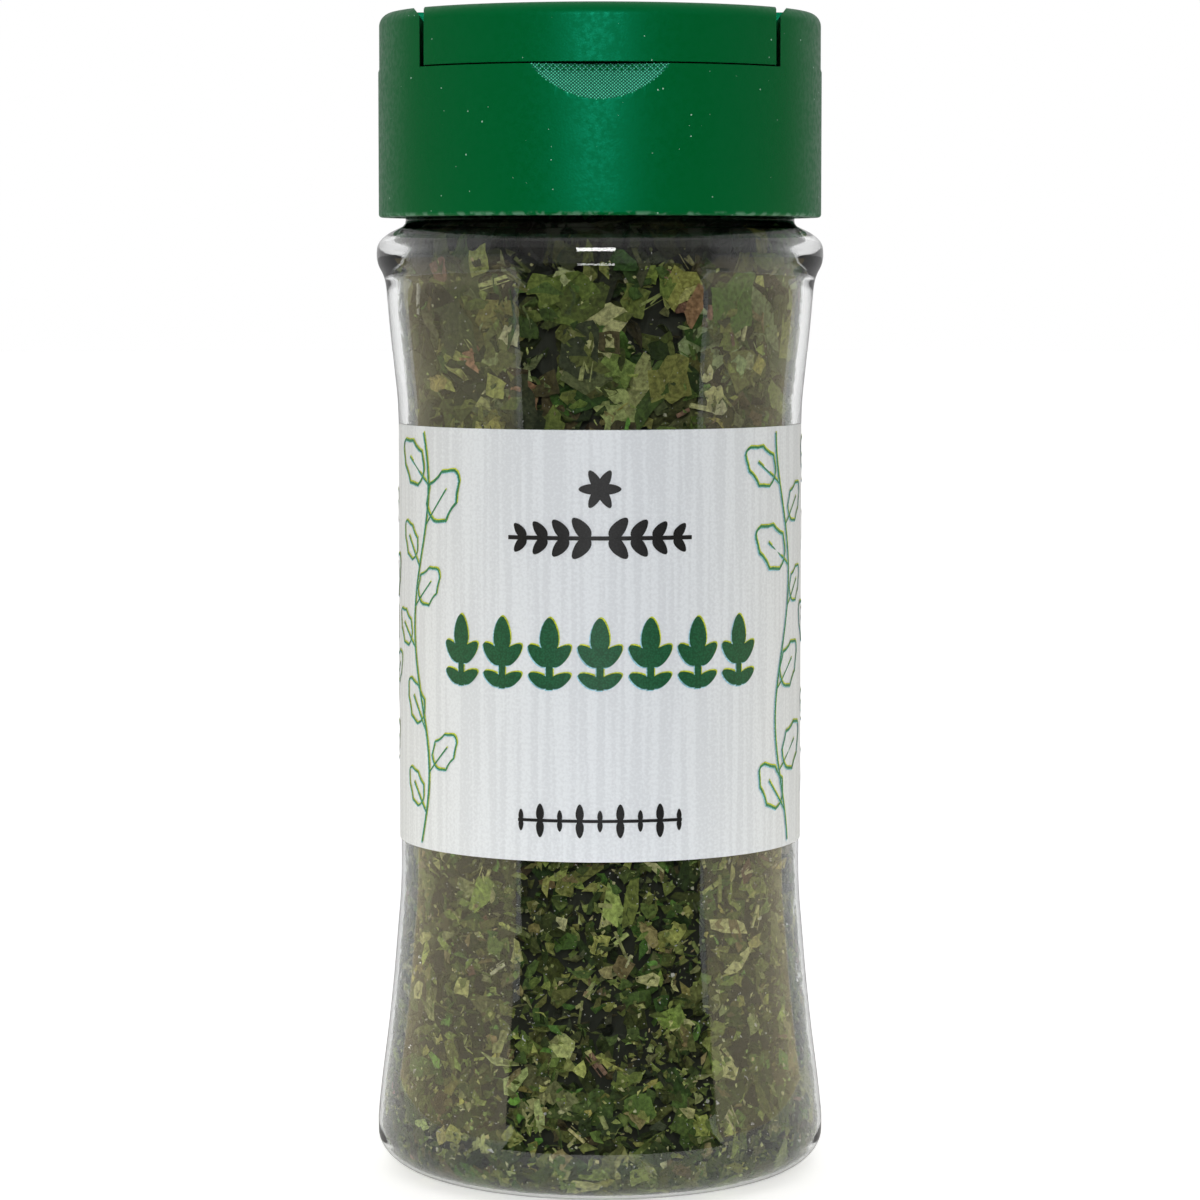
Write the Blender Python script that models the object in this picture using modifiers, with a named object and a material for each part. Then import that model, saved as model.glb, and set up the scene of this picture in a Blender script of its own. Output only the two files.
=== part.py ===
"""A clear spice jar of dried parsley with a green twin-flap cap, at its real size.

Frame: metres, +Z up, the jar stands on z = 0 with its axis on the Z axis, and the thumb
recess of the sifter flap faces -Y. The waisted jar is a thin blow-moulded shell with a screw
neck. The cap screws onto it: a skirt with a deck, a hinge bar across the top, two solid-looking
wings beside the flaps, and two flaps that turn up about the edges of the bar. The front flap
covers the sifter holes and the rear one the spoon opening. A printed label is wrapped round
the waist, and the jar is filled up to its neck with flakes of dried leaf.
"""

import math
import random

import bmesh
import bpy
from mathutils import Matrix, Vector

# Whole object
CAP_TOP = 0.1154
FIT_GAP = 0.0003

# Jar: radius of the outside at each height of the foot and of the shoulder
JAR_SIDES = 36
JAR_WALL = 0.0008
STANDING_RING_INNER = 0.0150
STANDING_RING_OUTER = 0.0166
FOOT_RADIUS = 0.0224
HEEL_HEIGHT = 0.0036
HEEL_STEPS = 4
PUSH_UP = 0.0016
FOOT_CURVE = ((0.0052, 0.0224), (0.0095, 0.0219), (0.0170, 0.0210), (0.0240, 0.0204),
              (0.0285, 0.0200), (0.0331, 0.0200))
WAIST_RADIUS = 0.02015
SHOULDER_CURVE = ((0.0753, 0.02015), (0.0785, 0.02032), (0.0830, 0.0208), (0.0883, 0.0213))
BEAD_RADIUS = 0.0222
BEAD_HEIGHT = 0.0917
BEAD_HALF_HEIGHT = 0.0026
BEAD_STEPS = 6
NECK_ROOT = 0.0945
NECK_RADIUS = 0.01935
NECK_WALL = 0.0013
LIP_HEIGHT = 0.1076
INNER_LEVELS = (0.0060, 0.0140, 0.0240, 0.0310, 0.0335, 0.0750, 0.0775, 0.0870, 0.0905)

# Label: a sheet wrapped round the waist, in a shallow panel of the jar
LABEL_BOTTOM = 0.0334
LABEL_TOP = 0.0749
LABEL_RADIUS = 0.02018
LABEL_THICKNESS = 0.0003
PANEL_RADIUS = LABEL_RADIUS - LABEL_THICKNESS - FIT_GAP

# Screw thread, on the neck and inside the skirt
THREAD_PITCH = 0.0032
THREAD_TURNS = 1.5
THREAD_STEPS = 36
THREAD_ROOT_HALF = 0.0009
THREAD_CREST_HALF = 0.00035
THREAD_TURN = math.radians(3.3)
NECK_THREAD_START = 0.1003
NECK_THREAD_CREST = 0.0201
SKIRT_THREAD_CREST = 0.01975

# Cap
CAP_SIDES = 56
SKIRT_RADIUS = 0.0220
SKIRT_BOTTOM = 0.0953
SKIRT_WALL = 0.0013
RIM_ROUND = 0.0003
CROWN_RADIUS = 0.0219
CROWN_FILLET = 0.0013
FILLET_STEPS = 3
DECK_TOP = 0.1096
DECK_THICKNESS = 0.0016
CROWN_WALL = 0.0012
WELL_HALF_WIDTH = 0.01735
WELL_CHAMFER = 0.0007
BAR_HALF_WIDTH = 0.0032
SIFT_HOLE_RADIUS = 0.0023
SIFT_HOLE_SIDES = 12
SIFT_ROWS = ((-0.0080, (-0.0105, -0.0035, 0.0035, 0.0105)), (-0.0143, (-0.0070, 0.0, 0.0070)))
SPOON_HALF_WIDTH = 0.0125
SPOON_NEAR = 0.0060
SPOON_RADIUS = 0.0178
THUMB_SPHERE = 0.0448
THUMB_REACH = 0.0397
THUMB_RISE = 0.0172

# Flaps
FLAP_HALF_WIDTH = 0.0169
FLAP_BOTTOM = DECK_TOP + FIT_GAP
FLAP_WALL = 0.0011
FLAP_EDGE_ROUND = 0.0009
HINGE_OFFSET = BAR_HALF_WIDTH + FIT_GAP / 2

# Dried parsley
HERB_GAP = 0.00035
HERB_RELIEF = 0.0013
HERB_FLOOR = 0.0031
HERB_TOP = 0.0985
HERB_HEAP = 0.0022
CORE_SIDES = 16
CORE_LEVELS = (0.0036, 0.0070, 0.0240, 0.0320, 0.0760, 0.0880, 0.0925)
FLAKE_ROWS = 14
FLAKE_BOTTOM = 0.0052
FLAKE_TOP = 0.0925
FLAKE_SMALL = 0.0026
FLAKE_LARGE = 0.0039
FLAKE_DEPTH = 0.0023
FLAKE_SPACING = 2.9
HEAP_FLAKES = 16
STEM_COUNT = 14
STEM_THICKNESS = 0.0007
WELD_DISTANCE = 0.000004
SEED = 5

PARTS = "parsley_jar"
CUTTERS = "parsley_jar_cutters"


def clear_scene():
    """Remove the objects that are in the scene."""
    for leftover in list(bpy.data.objects):
        bpy.data.objects.remove(leftover)


def new_collection(name):
    """Make a collection and link it to the scene."""
    collection = bpy.data.collections.new(name)
    bpy.context.scene.collection.children.link(collection)
    return collection


def new_material(name, colour, roughness, metallic=0.0, transmission=0.0):
    """Make a Principled material."""
    material = bpy.data.materials.new(name)
    material.use_nodes = True
    shader = material.node_tree.nodes["Principled BSDF"]
    shader.inputs["Base Color"].default_value = (*colour, 1.0)
    shader.inputs["Roughness"].default_value = roughness
    shader.inputs["Metallic"].default_value = metallic
    shader.inputs["Transmission Weight"].default_value = transmission
    material.diffuse_color = (*colour, 1.0)
    return material


def add_object(name, mesh, collection, material=None):
    """Put a mesh into the scene as a named object."""
    mesh.name = name
    part = bpy.data.objects.new(name, mesh)
    collection.objects.link(part)
    if material:
        mesh.materials.append(material)
    return part


def mesh_from(bm, name):
    """Write a bmesh to a new mesh."""
    mesh = bpy.data.meshes.new(name)
    bm.to_mesh(mesh)
    bm.free()
    return mesh


def as_cutter(cutter):
    """Mark an object as a guide that is not a part."""
    cutter.hide_render = True
    cutter.display_type = "WIRE"
    return cutter


def boolean(part, tool, operation):
    """Cut a tool out of a part, or join it on."""
    modifier = part.modifiers.new(operation.lower() + "_" + tool.name, "BOOLEAN")
    modifier.operation = operation
    modifier.solver = "EXACT"
    modifier.object = tool


def smooth_shading(part):
    """Shade the round faces smooth and keep the edges crisp."""
    part.data.shade_smooth()
    part.data.set_sharp_from_angle(angle=math.radians(35))


def turned_mesh(name, outline, sides):
    """Revolve (radius, height) points, run down the outer side, round Z; off the axis they close up."""
    mesh = bpy.data.meshes.new(name + "_outline")
    edges = [(i, i + 1) for i in range(len(outline) - 1)]
    if outline[0][0] > 0:
        edges.append((len(outline) - 1, 0))
    mesh.from_pydata([(radius, 0.0, height) for radius, height in outline], edges, [])
    blank = bpy.data.objects.new(name + "_blank", mesh)
    bpy.context.scene.collection.objects.link(blank)
    screw = blank.modifiers.new("turn", "SCREW")
    screw.steps = sides
    screw.render_steps = sides
    screw.use_merge_vertices = True
    screw.merge_threshold = 0.00002
    turned = bpy.data.meshes.new_from_object(blank.evaluated_get(bpy.context.evaluated_depsgraph_get()))
    bpy.data.objects.remove(blank)
    bm = bmesh.new()
    bm.from_mesh(turned)
    bmesh.ops.recalc_face_normals(bm, faces=bm.faces)
    bpy.data.meshes.remove(turned)
    return mesh_from(bm, name)


def arc(centre, radii, start, end, steps):
    """Points (radius, height) on an elliptical arc, angles in degrees from the outward side."""
    points = []
    for i in range(steps + 1):
        angle = math.radians(start + (end - start) * i / steps)
        points.append((centre[0] + radii[0] * math.cos(angle), centre[1] + radii[1] * math.sin(angle)))
    return points


def curve_radius(curve, height):
    """Radius at a height on a smooth curve through (height, radius) knots."""
    inside = [i for i in range(len(curve) - 1) if height >= curve[i][0]]
    i = inside[-1] if inside else 0
    before, low = curve[max(i - 1, 0)], curve[i]
    high, after = curve[i + 1], curve[min(i + 2, len(curve) - 1)]
    span = high[0] - low[0]
    t = (height - low[0]) / span
    slope_low = (high[1] - before[1]) / (high[0] - before[0]) * span
    slope_high = (after[1] - low[1]) / (after[0] - low[0]) * span
    blend = t * t * (3 - 2 * t)
    bow = t * (1 - t)
    return low[1] + blend * (high[1] - low[1]) + bow * ((1 - t) * slope_low - t * slope_high)


def body_radius(height):
    """Outer radius of the jar's body at a height above the heel."""
    foot_end, shoulder_start = FOOT_CURVE[-1][0], SHOULDER_CURVE[0][0]
    if height < FOOT_CURVE[0][0]:
        drop = 1 - min(height, HEEL_HEIGHT) / HEEL_HEIGHT
        reach = FOOT_RADIUS - STANDING_RING_OUTER
        return STANDING_RING_OUTER + reach * math.sqrt(1 - drop * drop)
    if height < foot_end:
        return curve_radius(FOOT_CURVE, height)
    if height <= shoulder_start:
        return PANEL_RADIUS
    if height <= SHOULDER_CURVE[-1][0]:
        return curve_radius(SHOULDER_CURVE, height)
    lift = max(-1.0, min(1.0, (height - BEAD_HEIGHT) / (NECK_ROOT - BEAD_HEIGHT)))
    root = SHOULDER_CURVE[-1][1] if height < BEAD_HEIGHT else NECK_RADIUS
    return root + (BEAD_RADIUS - root) * math.sqrt(max(0.0, 1 - lift * lift))


def inner_radius(height):
    """Radius of the jar's inside at a height."""
    if height >= NECK_ROOT - JAR_WALL:
        return NECK_RADIUS - NECK_WALL
    wall = JAR_WALL if height > HEEL_HEIGHT else JAR_WALL * 1.4
    return min(body_radius(height) - wall, body_radius(height - JAR_WALL) - wall / 2)


def thread_mesh(name, root, crest, start):
    """A helical ridge of trapezoid section, closed at both ends."""
    section = ((root, -THREAD_ROOT_HALF), (crest, -THREAD_CREST_HALF),
               (crest, THREAD_CREST_HALF), (root, THREAD_ROOT_HALF))
    mesh = bpy.data.meshes.new(name + "_section")
    edges = [(i, (i + 1) % len(section)) for i in range(len(section))]
    mesh.from_pydata([(radius, 0.0, start + height) for radius, height in section], edges, [])
    blank = bpy.data.objects.new(name + "_blank", mesh)
    bpy.context.scene.collection.objects.link(blank)
    screw = blank.modifiers.new("helix", "SCREW")
    screw.angle = 2 * math.pi * THREAD_TURNS
    screw.screw_offset = THREAD_PITCH * THREAD_TURNS
    screw.steps = round(THREAD_STEPS * THREAD_TURNS)
    screw.render_steps = screw.steps
    swept = bpy.data.meshes.new_from_object(blank.evaluated_get(bpy.context.evaluated_depsgraph_get()))
    bpy.data.objects.remove(blank)
    bm = bmesh.new()
    bm.from_mesh(swept)
    open_edges = [edge for edge in bm.edges if edge.is_boundary]
    bmesh.ops.holes_fill(bm, edges=open_edges, sides=0)
    bmesh.ops.rotate(bm, matrix=Matrix.Rotation(THREAD_TURN, 3, "Z"), verts=bm.verts)
    bmesh.ops.recalc_face_normals(bm, faces=bm.faces)
    bpy.data.meshes.remove(swept)
    return mesh_from(bm, name)


def box_mesh(name, low, high):
    """A box between two corners."""
    bm = bmesh.new()
    bmesh.ops.create_cube(bm, size=1.0)
    low, high = Vector(low), Vector(high)
    bmesh.ops.scale(bm, vec=high - low, verts=bm.verts)
    bmesh.ops.translate(bm, vec=(low + high) / 2, verts=bm.verts)
    return mesh_from(bm, name)


def trimmed(mesh, name, planes):
    """Keep the side of each plane (point, normal) that its normal points away from."""
    bm = bmesh.new()
    bm.from_mesh(mesh)
    for point, normal in planes:
        geometry = bm.verts[:] + bm.edges[:] + bm.faces[:]
        cut = bmesh.ops.bisect_plane(bm, geom=geometry, dist=1e-7, plane_co=point, plane_no=normal,
                                     clear_outer=True)
        rim = [item for item in cut["geom_cut"] if isinstance(item, bmesh.types.BMEdge)]
        bmesh.ops.holes_fill(bm, edges=rim, sides=0)
    bmesh.ops.recalc_face_normals(bm, faces=bm.faces)
    bpy.data.meshes.remove(mesh)
    return mesh_from(bm, name)


def make_jar(parts, cutters):
    """The blow-moulded jar: heel, flared foot, label panel, flared shoulder, bead and screw neck."""
    ring_width = FOOT_RADIUS - STANDING_RING_OUTER
    neck_rise = arc((NECK_RADIUS, BEAD_HEIGHT), (BEAD_RADIUS - NECK_RADIUS, NECK_ROOT - BEAD_HEIGHT),
                    90, 0, BEAD_STEPS - 2)
    bead_base = SHOULDER_CURVE[-1]
    bead_fall = arc((bead_base[1], BEAD_HEIGHT), (BEAD_RADIUS - bead_base[1], BEAD_HALF_HEIGHT),
                    0, -80, BEAD_STEPS - 3)[1:]
    shoulder = [(radius, height) for height, radius in reversed(SHOULDER_CURVE)]
    foot = [(radius, height) for height, radius in reversed(FOOT_CURVE)]
    panel = [(PANEL_RADIUS, SHOULDER_CURVE[0][0]), (PANEL_RADIUS, FOOT_CURVE[-1][0])]
    heel = arc((STANDING_RING_OUTER, HEEL_HEIGHT), (ring_width, HEEL_HEIGHT), 0, -90, HEEL_STEPS)
    outside = [(NECK_RADIUS - NECK_WALL + 0.0002, LIP_HEIGHT), (NECK_RADIUS - 0.0003, LIP_HEIGHT),
               (NECK_RADIUS, LIP_HEIGHT - 0.0003)]
    outside += neck_rise + bead_fall + shoulder + panel + foot + heel
    outside += [(STANDING_RING_INNER, 0.0), (STANDING_RING_INNER - 0.0012, PUSH_UP * 0.7), (0.0, PUSH_UP)]
    floor = PUSH_UP + JAR_WALL
    inside = [(0.0, floor), (STANDING_RING_INNER - 0.0010, PUSH_UP * 0.7 + JAR_WALL),
              (STANDING_RING_INNER + 0.0006, JAR_WALL), (STANDING_RING_OUTER, JAR_WALL)]
    inside += arc((STANDING_RING_OUTER, HEEL_HEIGHT + JAR_WALL), (ring_width - JAR_WALL, HEEL_HEIGHT),
                  -60, 0, 2)
    inside += [(inner_radius(height), height) for height in INNER_LEVELS]
    inside += arc((NECK_RADIUS, BEAD_HEIGHT),
                  (BEAD_RADIUS - NECK_RADIUS - JAR_WALL, NECK_ROOT - BEAD_HEIGHT - JAR_WALL), 0, 90, 2)
    inside += [(NECK_RADIUS - NECK_WALL, NECK_ROOT), (NECK_RADIUS - NECK_WALL, LIP_HEIGHT - 0.0002)]
    clear = new_material("clear_jar_plastic", (0.90, 0.93, 0.92), 0.05, transmission=0.95)
    jar = add_object("jar", turned_mesh("jar", inside + outside, JAR_SIDES), parts, clear)
    smooth_shading(jar)
    ridge = thread_mesh("neck_thread", NECK_RADIUS - NECK_WALL / 2, NECK_THREAD_CREST, NECK_THREAD_START)
    boolean(jar, as_cutter(add_object("neck_thread", ridge, cutters)), "UNION")


def make_label(parts):
    """The printed sheet wrapped round the jar's waist."""
    bottom_radius = LABEL_RADIUS - 0.0001
    inner = LABEL_RADIUS - LABEL_THICKNESS
    outline = [(inner, LABEL_BOTTOM), (inner, LABEL_TOP), (LABEL_RADIUS, LABEL_TOP),
               (LABEL_RADIUS, LABEL_BOTTOM + 0.006), (bottom_radius, LABEL_BOTTOM)]
    paper = new_material("printed_label", (0.65, 0.70, 0.73), 0.45)
    label = add_object("label", turned_mesh("label", outline, JAR_SIDES), parts, paper)
    smooth_shading(label)


def flake_mesh(name, sides, radius, random_source):
    """A torn leaf flake: an uneven outline on the outer face, drawn in towards its root."""
    bm = bmesh.new()
    bmesh.ops.create_circle(bm, segments=sides, radius=radius, cap_ends=True)
    for vertex in bm.verts:
        vertex.co *= random_source.uniform(0.65, 1.2)
        vertex.co.z = random_source.uniform(-0.1, 0.1) * radius
    lifted = bmesh.ops.extrude_face_region(bm, geom=bm.faces[:])
    root = [item for item in lifted["geom"] if isinstance(item, bmesh.types.BMVert)]
    bmesh.ops.translate(bm, vec=(0, 0, -FLAKE_DEPTH), verts=root)
    bmesh.ops.scale(bm, vec=(0.8, 0.8, 1.0), verts=root)
    bmesh.ops.recalc_face_normals(bm, faces=bm.faces)
    bmesh.ops.triangulate(bm, faces=bm.faces)
    return mesh_from(bm, name)


def press_against_wall(mesh, place, random_source):
    """Move a flake to its place and keep every corner clear of the jar's wall."""
    for vertex in mesh.vertices:
        point = place @ vertex.co
        flat = Vector((point.x, point.y))
        limit = inner_radius(point.z) - HERB_GAP - random_source.uniform(0.0, 0.0003)
        if flat.length > limit:
            flat *= limit / flat.length
        vertex.co = (flat.x, flat.y, point.z)


def outer_body(mesh):
    """Keep the largest closed body of a fused mesh: no loose scrap, and no hollow sealed inside."""
    bm = bmesh.new()
    bm.from_mesh(mesh)
    bmesh.ops.remove_doubles(bm, verts=bm.verts, dist=WELD_DISTANCE)
    bmesh.ops.dissolve_degenerate(bm, edges=bm.edges, dist=WELD_DISTANCE)
    unseen = set(bm.verts)
    bodies = []
    while unseen:
        body, front = set(), [unseen.pop()]
        while front:
            vertex = front.pop()
            body.add(vertex)
            near = {edge.other_vert(vertex) for edge in vertex.link_edges} & unseen
            unseen -= near
            front.extend(near)
        bodies.append(body)
    kept = max(bodies, key=len)
    bmesh.ops.delete(bm, geom=[v for v in bm.verts if v not in kept], context="VERTS")
    bpy.data.meshes.remove(mesh)
    return mesh_from(bm, "parsley_flakes")


def outward_place(angle, height, radius, tilt, spin):
    """A frame whose Z axis points out of the herb's side at an angle and height."""
    face_out = Matrix.Rotation(angle, 4, "Z") @ Matrix.Rotation(math.radians(90), 4, "Y")
    centre = Vector((radius * math.cos(angle), radius * math.sin(angle), height))
    return Matrix.Translation(centre) @ face_out @ tilt @ Matrix.Rotation(spin, 4, "Z")


def make_parsley(parts, seed=SEED):
    """The fill: a slimmer core, covered all over in fused leaf flakes and a few bits of stem."""
    random_source = random.Random(seed)
    pieces = bpy.data.collections.new("flakes")
    bpy.context.scene.collection.children.link(pieces)
    core_top = NECK_RADIUS - NECK_WALL - HERB_GAP - HERB_RELIEF
    outline = [(0.0, HERB_TOP), (core_top * 0.6, HERB_TOP - 0.0006), (core_top, HERB_TOP - HERB_HEAP)]
    outline += [(inner_radius(height) - HERB_GAP - HERB_RELIEF, height) for height in reversed(CORE_LEVELS)]
    outline += [(STANDING_RING_OUTER, HERB_FLOOR), (0.0, HERB_FLOOR + 0.0002)]
    dry_green = new_material("dried_parsley", (0.045, 0.055, 0.018), 0.9)
    core = add_object("parsley_flakes", turned_mesh("parsley_flakes", outline, CORE_SIDES), parts, dry_green)

    def add_flake(place, radius):
        sides = random_source.choice((4, 4, 5, 5))
        mesh = flake_mesh("flake", sides, radius, random_source)
        press_against_wall(mesh, place, random_source)
        add_object("flake", mesh, pieces, dry_green)

    for row in range(FLAKE_ROWS):
        share = (row + 0.5) / FLAKE_ROWS
        height = FLAKE_BOTTOM + (FLAKE_TOP - FLAKE_BOTTOM) * share
        radius = FLAKE_SMALL + (FLAKE_LARGE - FLAKE_SMALL) * share
        round_at = inner_radius(height)
        count = round(2 * math.pi * round_at / (FLAKE_SPACING * radius))
        for i in range(count):
            angle = 2 * math.pi * (i + 0.5 * (row % 2) + random_source.uniform(-0.25, 0.25)) / count
            tilt = Matrix.Rotation(random_source.uniform(-0.3, 0.3), 4, "X")
            tilt = tilt @ Matrix.Rotation(random_source.uniform(-0.3, 0.3), 4, "Y")
            lift = height + random_source.uniform(-0.35, 0.35) * radius
            sink = HERB_GAP + random_source.uniform(0.0, 0.0005)
            add_flake(outward_place(angle, lift, inner_radius(lift) - sink, tilt,
                                    random_source.uniform(0, math.tau)), radius)
    for i in range(HEAP_FLAKES):
        angle = i * math.radians(137.5)
        reach = core_top * math.sqrt((i + 0.5) / HEAP_FLAKES) * 0.86
        place = Matrix.Translation((reach * math.cos(angle), reach * math.sin(angle), HERB_TOP + 0.0002))
        tilt = Matrix.Rotation(random_source.uniform(-0.35, 0.35), 4, "X")
        add_flake(place @ tilt @ Matrix.Rotation(random_source.uniform(0, math.tau), 4, "Z"), FLAKE_LARGE)
    for i in range(STEM_COUNT):
        bm = bmesh.new()
        length = random_source.uniform(0.006, 0.010)
        bmesh.ops.create_cone(bm, cap_ends=True, segments=4, radius1=STEM_THICKNESS,
                              radius2=STEM_THICKNESS, depth=length)
        bmesh.ops.rotate(bm, matrix=Matrix.Rotation(math.radians(90), 3, "X"), verts=bm.verts)
        height = random_source.uniform(0.012, 0.090)
        sink = HERB_GAP + STEM_THICKNESS
        place = outward_place(random_source.uniform(0, math.tau), height, inner_radius(height) - sink,
                              Matrix.Identity(4), random_source.uniform(0, math.tau))
        mesh = mesh_from(bm, "stem")
        press_against_wall(mesh, place, random_source)
        add_object("stem", mesh, pieces, dry_green)

    modifier = core.modifiers.new("fuse", "BOOLEAN")
    modifier.operation = "UNION"
    modifier.operand_type = "COLLECTION"
    modifier.collection = pieces
    modifier.solver = "EXACT"
    modifier.use_self = True
    fused = bpy.data.meshes.new_from_object(core.evaluated_get(bpy.context.evaluated_depsgraph_get()))
    core.modifiers.clear()
    core.data = outer_body(fused)
    for piece in list(pieces.objects):
        bpy.data.objects.remove(piece)
    bpy.data.collections.remove(pieces)


def well_mesh(side):
    """The room for one flap above the deck, with the chamfer of the wings' inner edges."""
    over = CAP_TOP + WELL_CHAMFER
    near = side * BAR_HALF_WIDTH
    far = side * SKIRT_RADIUS * 1.2
    low = (-WELL_HALF_WIDTH, min(near, far), DECK_TOP)
    high = (WELL_HALF_WIDTH, max(near, far), over)
    bm = bmesh.new()
    bm.from_mesh(box_mesh("flap_well", low, high))
    geometry = bm.verts[:] + bm.edges[:] + bm.faces[:]
    bmesh.ops.bisect_plane(bm, geom=geometry, plane_co=(0, 0, CAP_TOP - WELL_CHAMFER), plane_no=(0, 0, 1))
    for vertex in bm.verts:
        if vertex.co.z > CAP_TOP:
            vertex.co.x += math.copysign(2 * WELL_CHAMFER, vertex.co.x)
    return mesh_from(bm, "flap_well")


def crown_outline(bottom, radius):
    """Outline of the cap's crown from the middle of its top down to a flat underside."""
    fillet = arc((radius - CROWN_FILLET, CAP_TOP - CROWN_FILLET), (CROWN_FILLET, CROWN_FILLET),
                 90, 0, FILLET_STEPS)
    return [(0.0, CAP_TOP)] + fillet + [(radius, bottom), (0.0, bottom)]


def make_cap_base(parts, cutters, green):
    """Skirt, deck, wings and hinge bar in one moulding."""
    inner = SKIRT_RADIUS - SKIRT_WALL
    deck_bottom = DECK_TOP - DECK_THICKNESS
    outline = crown_outline(DECK_TOP + FIT_GAP, CROWN_RADIUS)[:-1]
    outline += [(SKIRT_RADIUS, DECK_TOP), (SKIRT_RADIUS, SKIRT_BOTTOM + RIM_ROUND),
                (SKIRT_RADIUS - RIM_ROUND, SKIRT_BOTTOM), (inner + RIM_ROUND, SKIRT_BOTTOM),
                (inner, SKIRT_BOTTOM + RIM_ROUND), (inner, deck_bottom), (0.0, deck_bottom)]
    cap = add_object("cap_base", turned_mesh("cap_base", outline, CAP_SIDES), parts, green)
    smooth_shading(cap)

    ridge = thread_mesh("skirt_thread", inner + SKIRT_WALL / 3, SKIRT_THREAD_CREST,
                        NECK_THREAD_START - THREAD_PITCH / 2)
    boolean(cap, as_cutter(add_object("skirt_thread", ridge, cutters)), "UNION")

    core_top = CAP_TOP - CROWN_WALL
    wing_inner = WELL_HALF_WIDTH + CROWN_WALL
    below = deck_bottom - 0.001
    for side in (-1, 1):
        well = as_cutter(add_object("flap_well", well_mesh(side), cutters))
        boolean(cap, well, "DIFFERENCE")
        room = turned_mesh("wing_room", [(0.0, core_top), (inner, core_top), (inner, below), (0.0, below)],
                           CAP_SIDES)
        room = trimmed(room, "wing_room", [((side * wing_inner, 0, 0), (-side, 0, 0))])
        boolean(cap, as_cutter(add_object("wing_room", room, cutters)), "DIFFERENCE")
        bm = bmesh.new()
        bmesh.ops.create_icosphere(bm, subdivisions=4, radius=THUMB_SPHERE)
        ball = add_object("thumb_recess", mesh_from(bm, "thumb_recess"), cutters)
        ball.location = (0, side * (SKIRT_RADIUS + THUMB_REACH), DECK_TOP + THUMB_RISE)
        boolean(cap, as_cutter(ball), "DIFFERENCE")
    bar_inner = BAR_HALF_WIDTH - CROWN_WALL
    bar_room = box_mesh("bar_room", (-WELL_HALF_WIDTH + CROWN_WALL, -bar_inner, below),
                        (WELL_HALF_WIDTH - CROWN_WALL, bar_inner, core_top))
    boolean(cap, as_cutter(add_object("bar_room", bar_room, cutters)), "DIFFERENCE")

    for row, columns in SIFT_ROWS:
        for column in columns:
            bm = bmesh.new()
            bmesh.ops.create_cone(bm, cap_ends=True, segments=SIFT_HOLE_SIDES, radius1=SIFT_HOLE_RADIUS,
                                  radius2=SIFT_HOLE_RADIUS, depth=0.006)
            hole = add_object("sift_hole", mesh_from(bm, "sift_hole"), cutters)
            hole.location = (column, row, DECK_TOP)
            boolean(cap, as_cutter(hole), "DIFFERENCE")
    above = DECK_TOP + 0.001
    spoon = turned_mesh("spoon_opening", [(0.0, above), (SPOON_RADIUS, above), (SPOON_RADIUS, below),
                                          (0.0, below)], CAP_SIDES)
    spoon = trimmed(spoon, "spoon_opening", [((0, SPOON_NEAR, 0), (0, -1, 0)),
                                             ((SPOON_HALF_WIDTH, 0, 0), (1, 0, 0)),
                                             ((-SPOON_HALF_WIDTH, 0, 0), (-1, 0, 0))])
    boolean(cap, as_cutter(add_object("spoon_opening", spoon, cutters)), "DIFFERENCE")


def make_flap(name, side, parts, cutters, green):
    """One flap: a plate with a wall all round, which turns about the edge of the hinge bar."""
    edge = side * (BAR_HALF_WIDTH + FIT_GAP)
    blank = turned_mesh(name, crown_outline(FLAP_BOTTOM, CROWN_RADIUS), CAP_SIDES)
    blank = trimmed(blank, name, [((FLAP_HALF_WIDTH, 0, 0), (1, 0, 0)), ((-FLAP_HALF_WIDTH, 0, 0), (-1, 0, 0)),
                                  ((0, edge, 0), (0, -side, 0))])
    bm = bmesh.new()
    bm.from_mesh(blank)
    rounded = [e for e in bm.edges
               if all(abs(abs(v.co.x) - FLAP_HALF_WIDTH) < 1e-6 for v in e.verts)
               and sum(v.co.z for v in e.verts) / 2 > CAP_TOP - CROWN_FILLET
               and abs(e.verts[0].co.y - e.verts[1].co.y) > 0.003]
    bmesh.ops.bevel(bm, geom=rounded, offset=FLAP_EDGE_ROUND, segments=2, profile=0.5, affect="EDGES")
    bm.to_mesh(blank)
    bm.free()
    hinge = Vector((0, side * HINGE_OFFSET, CAP_TOP))
    blank.transform(Matrix.Translation(-hinge))
    flap = add_object(name, blank, parts, green)
    flap.location = hinge
    smooth_shading(flap)

    inner = CROWN_RADIUS - FLAP_WALL
    top = CAP_TOP - CROWN_WALL
    below = FLAP_BOTTOM - 0.001
    inside_width = FLAP_HALF_WIDTH - FLAP_WALL
    pocket = turned_mesh(name + "_pocket", [(0.0, top), (inner, top), (inner, below), (0.0, below)], CAP_SIDES)
    pocket = trimmed(pocket, name + "_pocket", [((inside_width, 0, 0), (1, 0, 0)),
                                                ((-inside_width, 0, 0), (-1, 0, 0)),
                                                ((0, edge + side * FLAP_WALL, 0), (0, -side, 0))])
    boolean(flap, as_cutter(add_object(name + "_pocket", pocket, cutters)), "DIFFERENCE")


def build():
    """Model the whole jar."""
    clear_scene()
    parts = new_collection(PARTS)
    cutters = new_collection(CUTTERS)
    green = new_material("green_cap_plastic", (0.002, 0.107, 0.027), 0.38)
    make_jar(parts, cutters)
    make_label(parts)
    make_parsley(parts)
    make_cap_base(parts, cutters, green)
    make_flap("flap_sift", -1, parts, cutters, green)
    make_flap("flap_spoon", 1, parts, cutters, green)


build()
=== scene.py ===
"""A clear spice jar of dried parsley with a green twin-flap cap.

The file follows the jar as it is put together: the studio, the blown jar, its fill of dried
leaf, the printed label, the cap's moulding, its two flaps and their film hinges.
"""
import math
import random

import bpy
from mathutils import Matrix, Vector, noise


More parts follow.
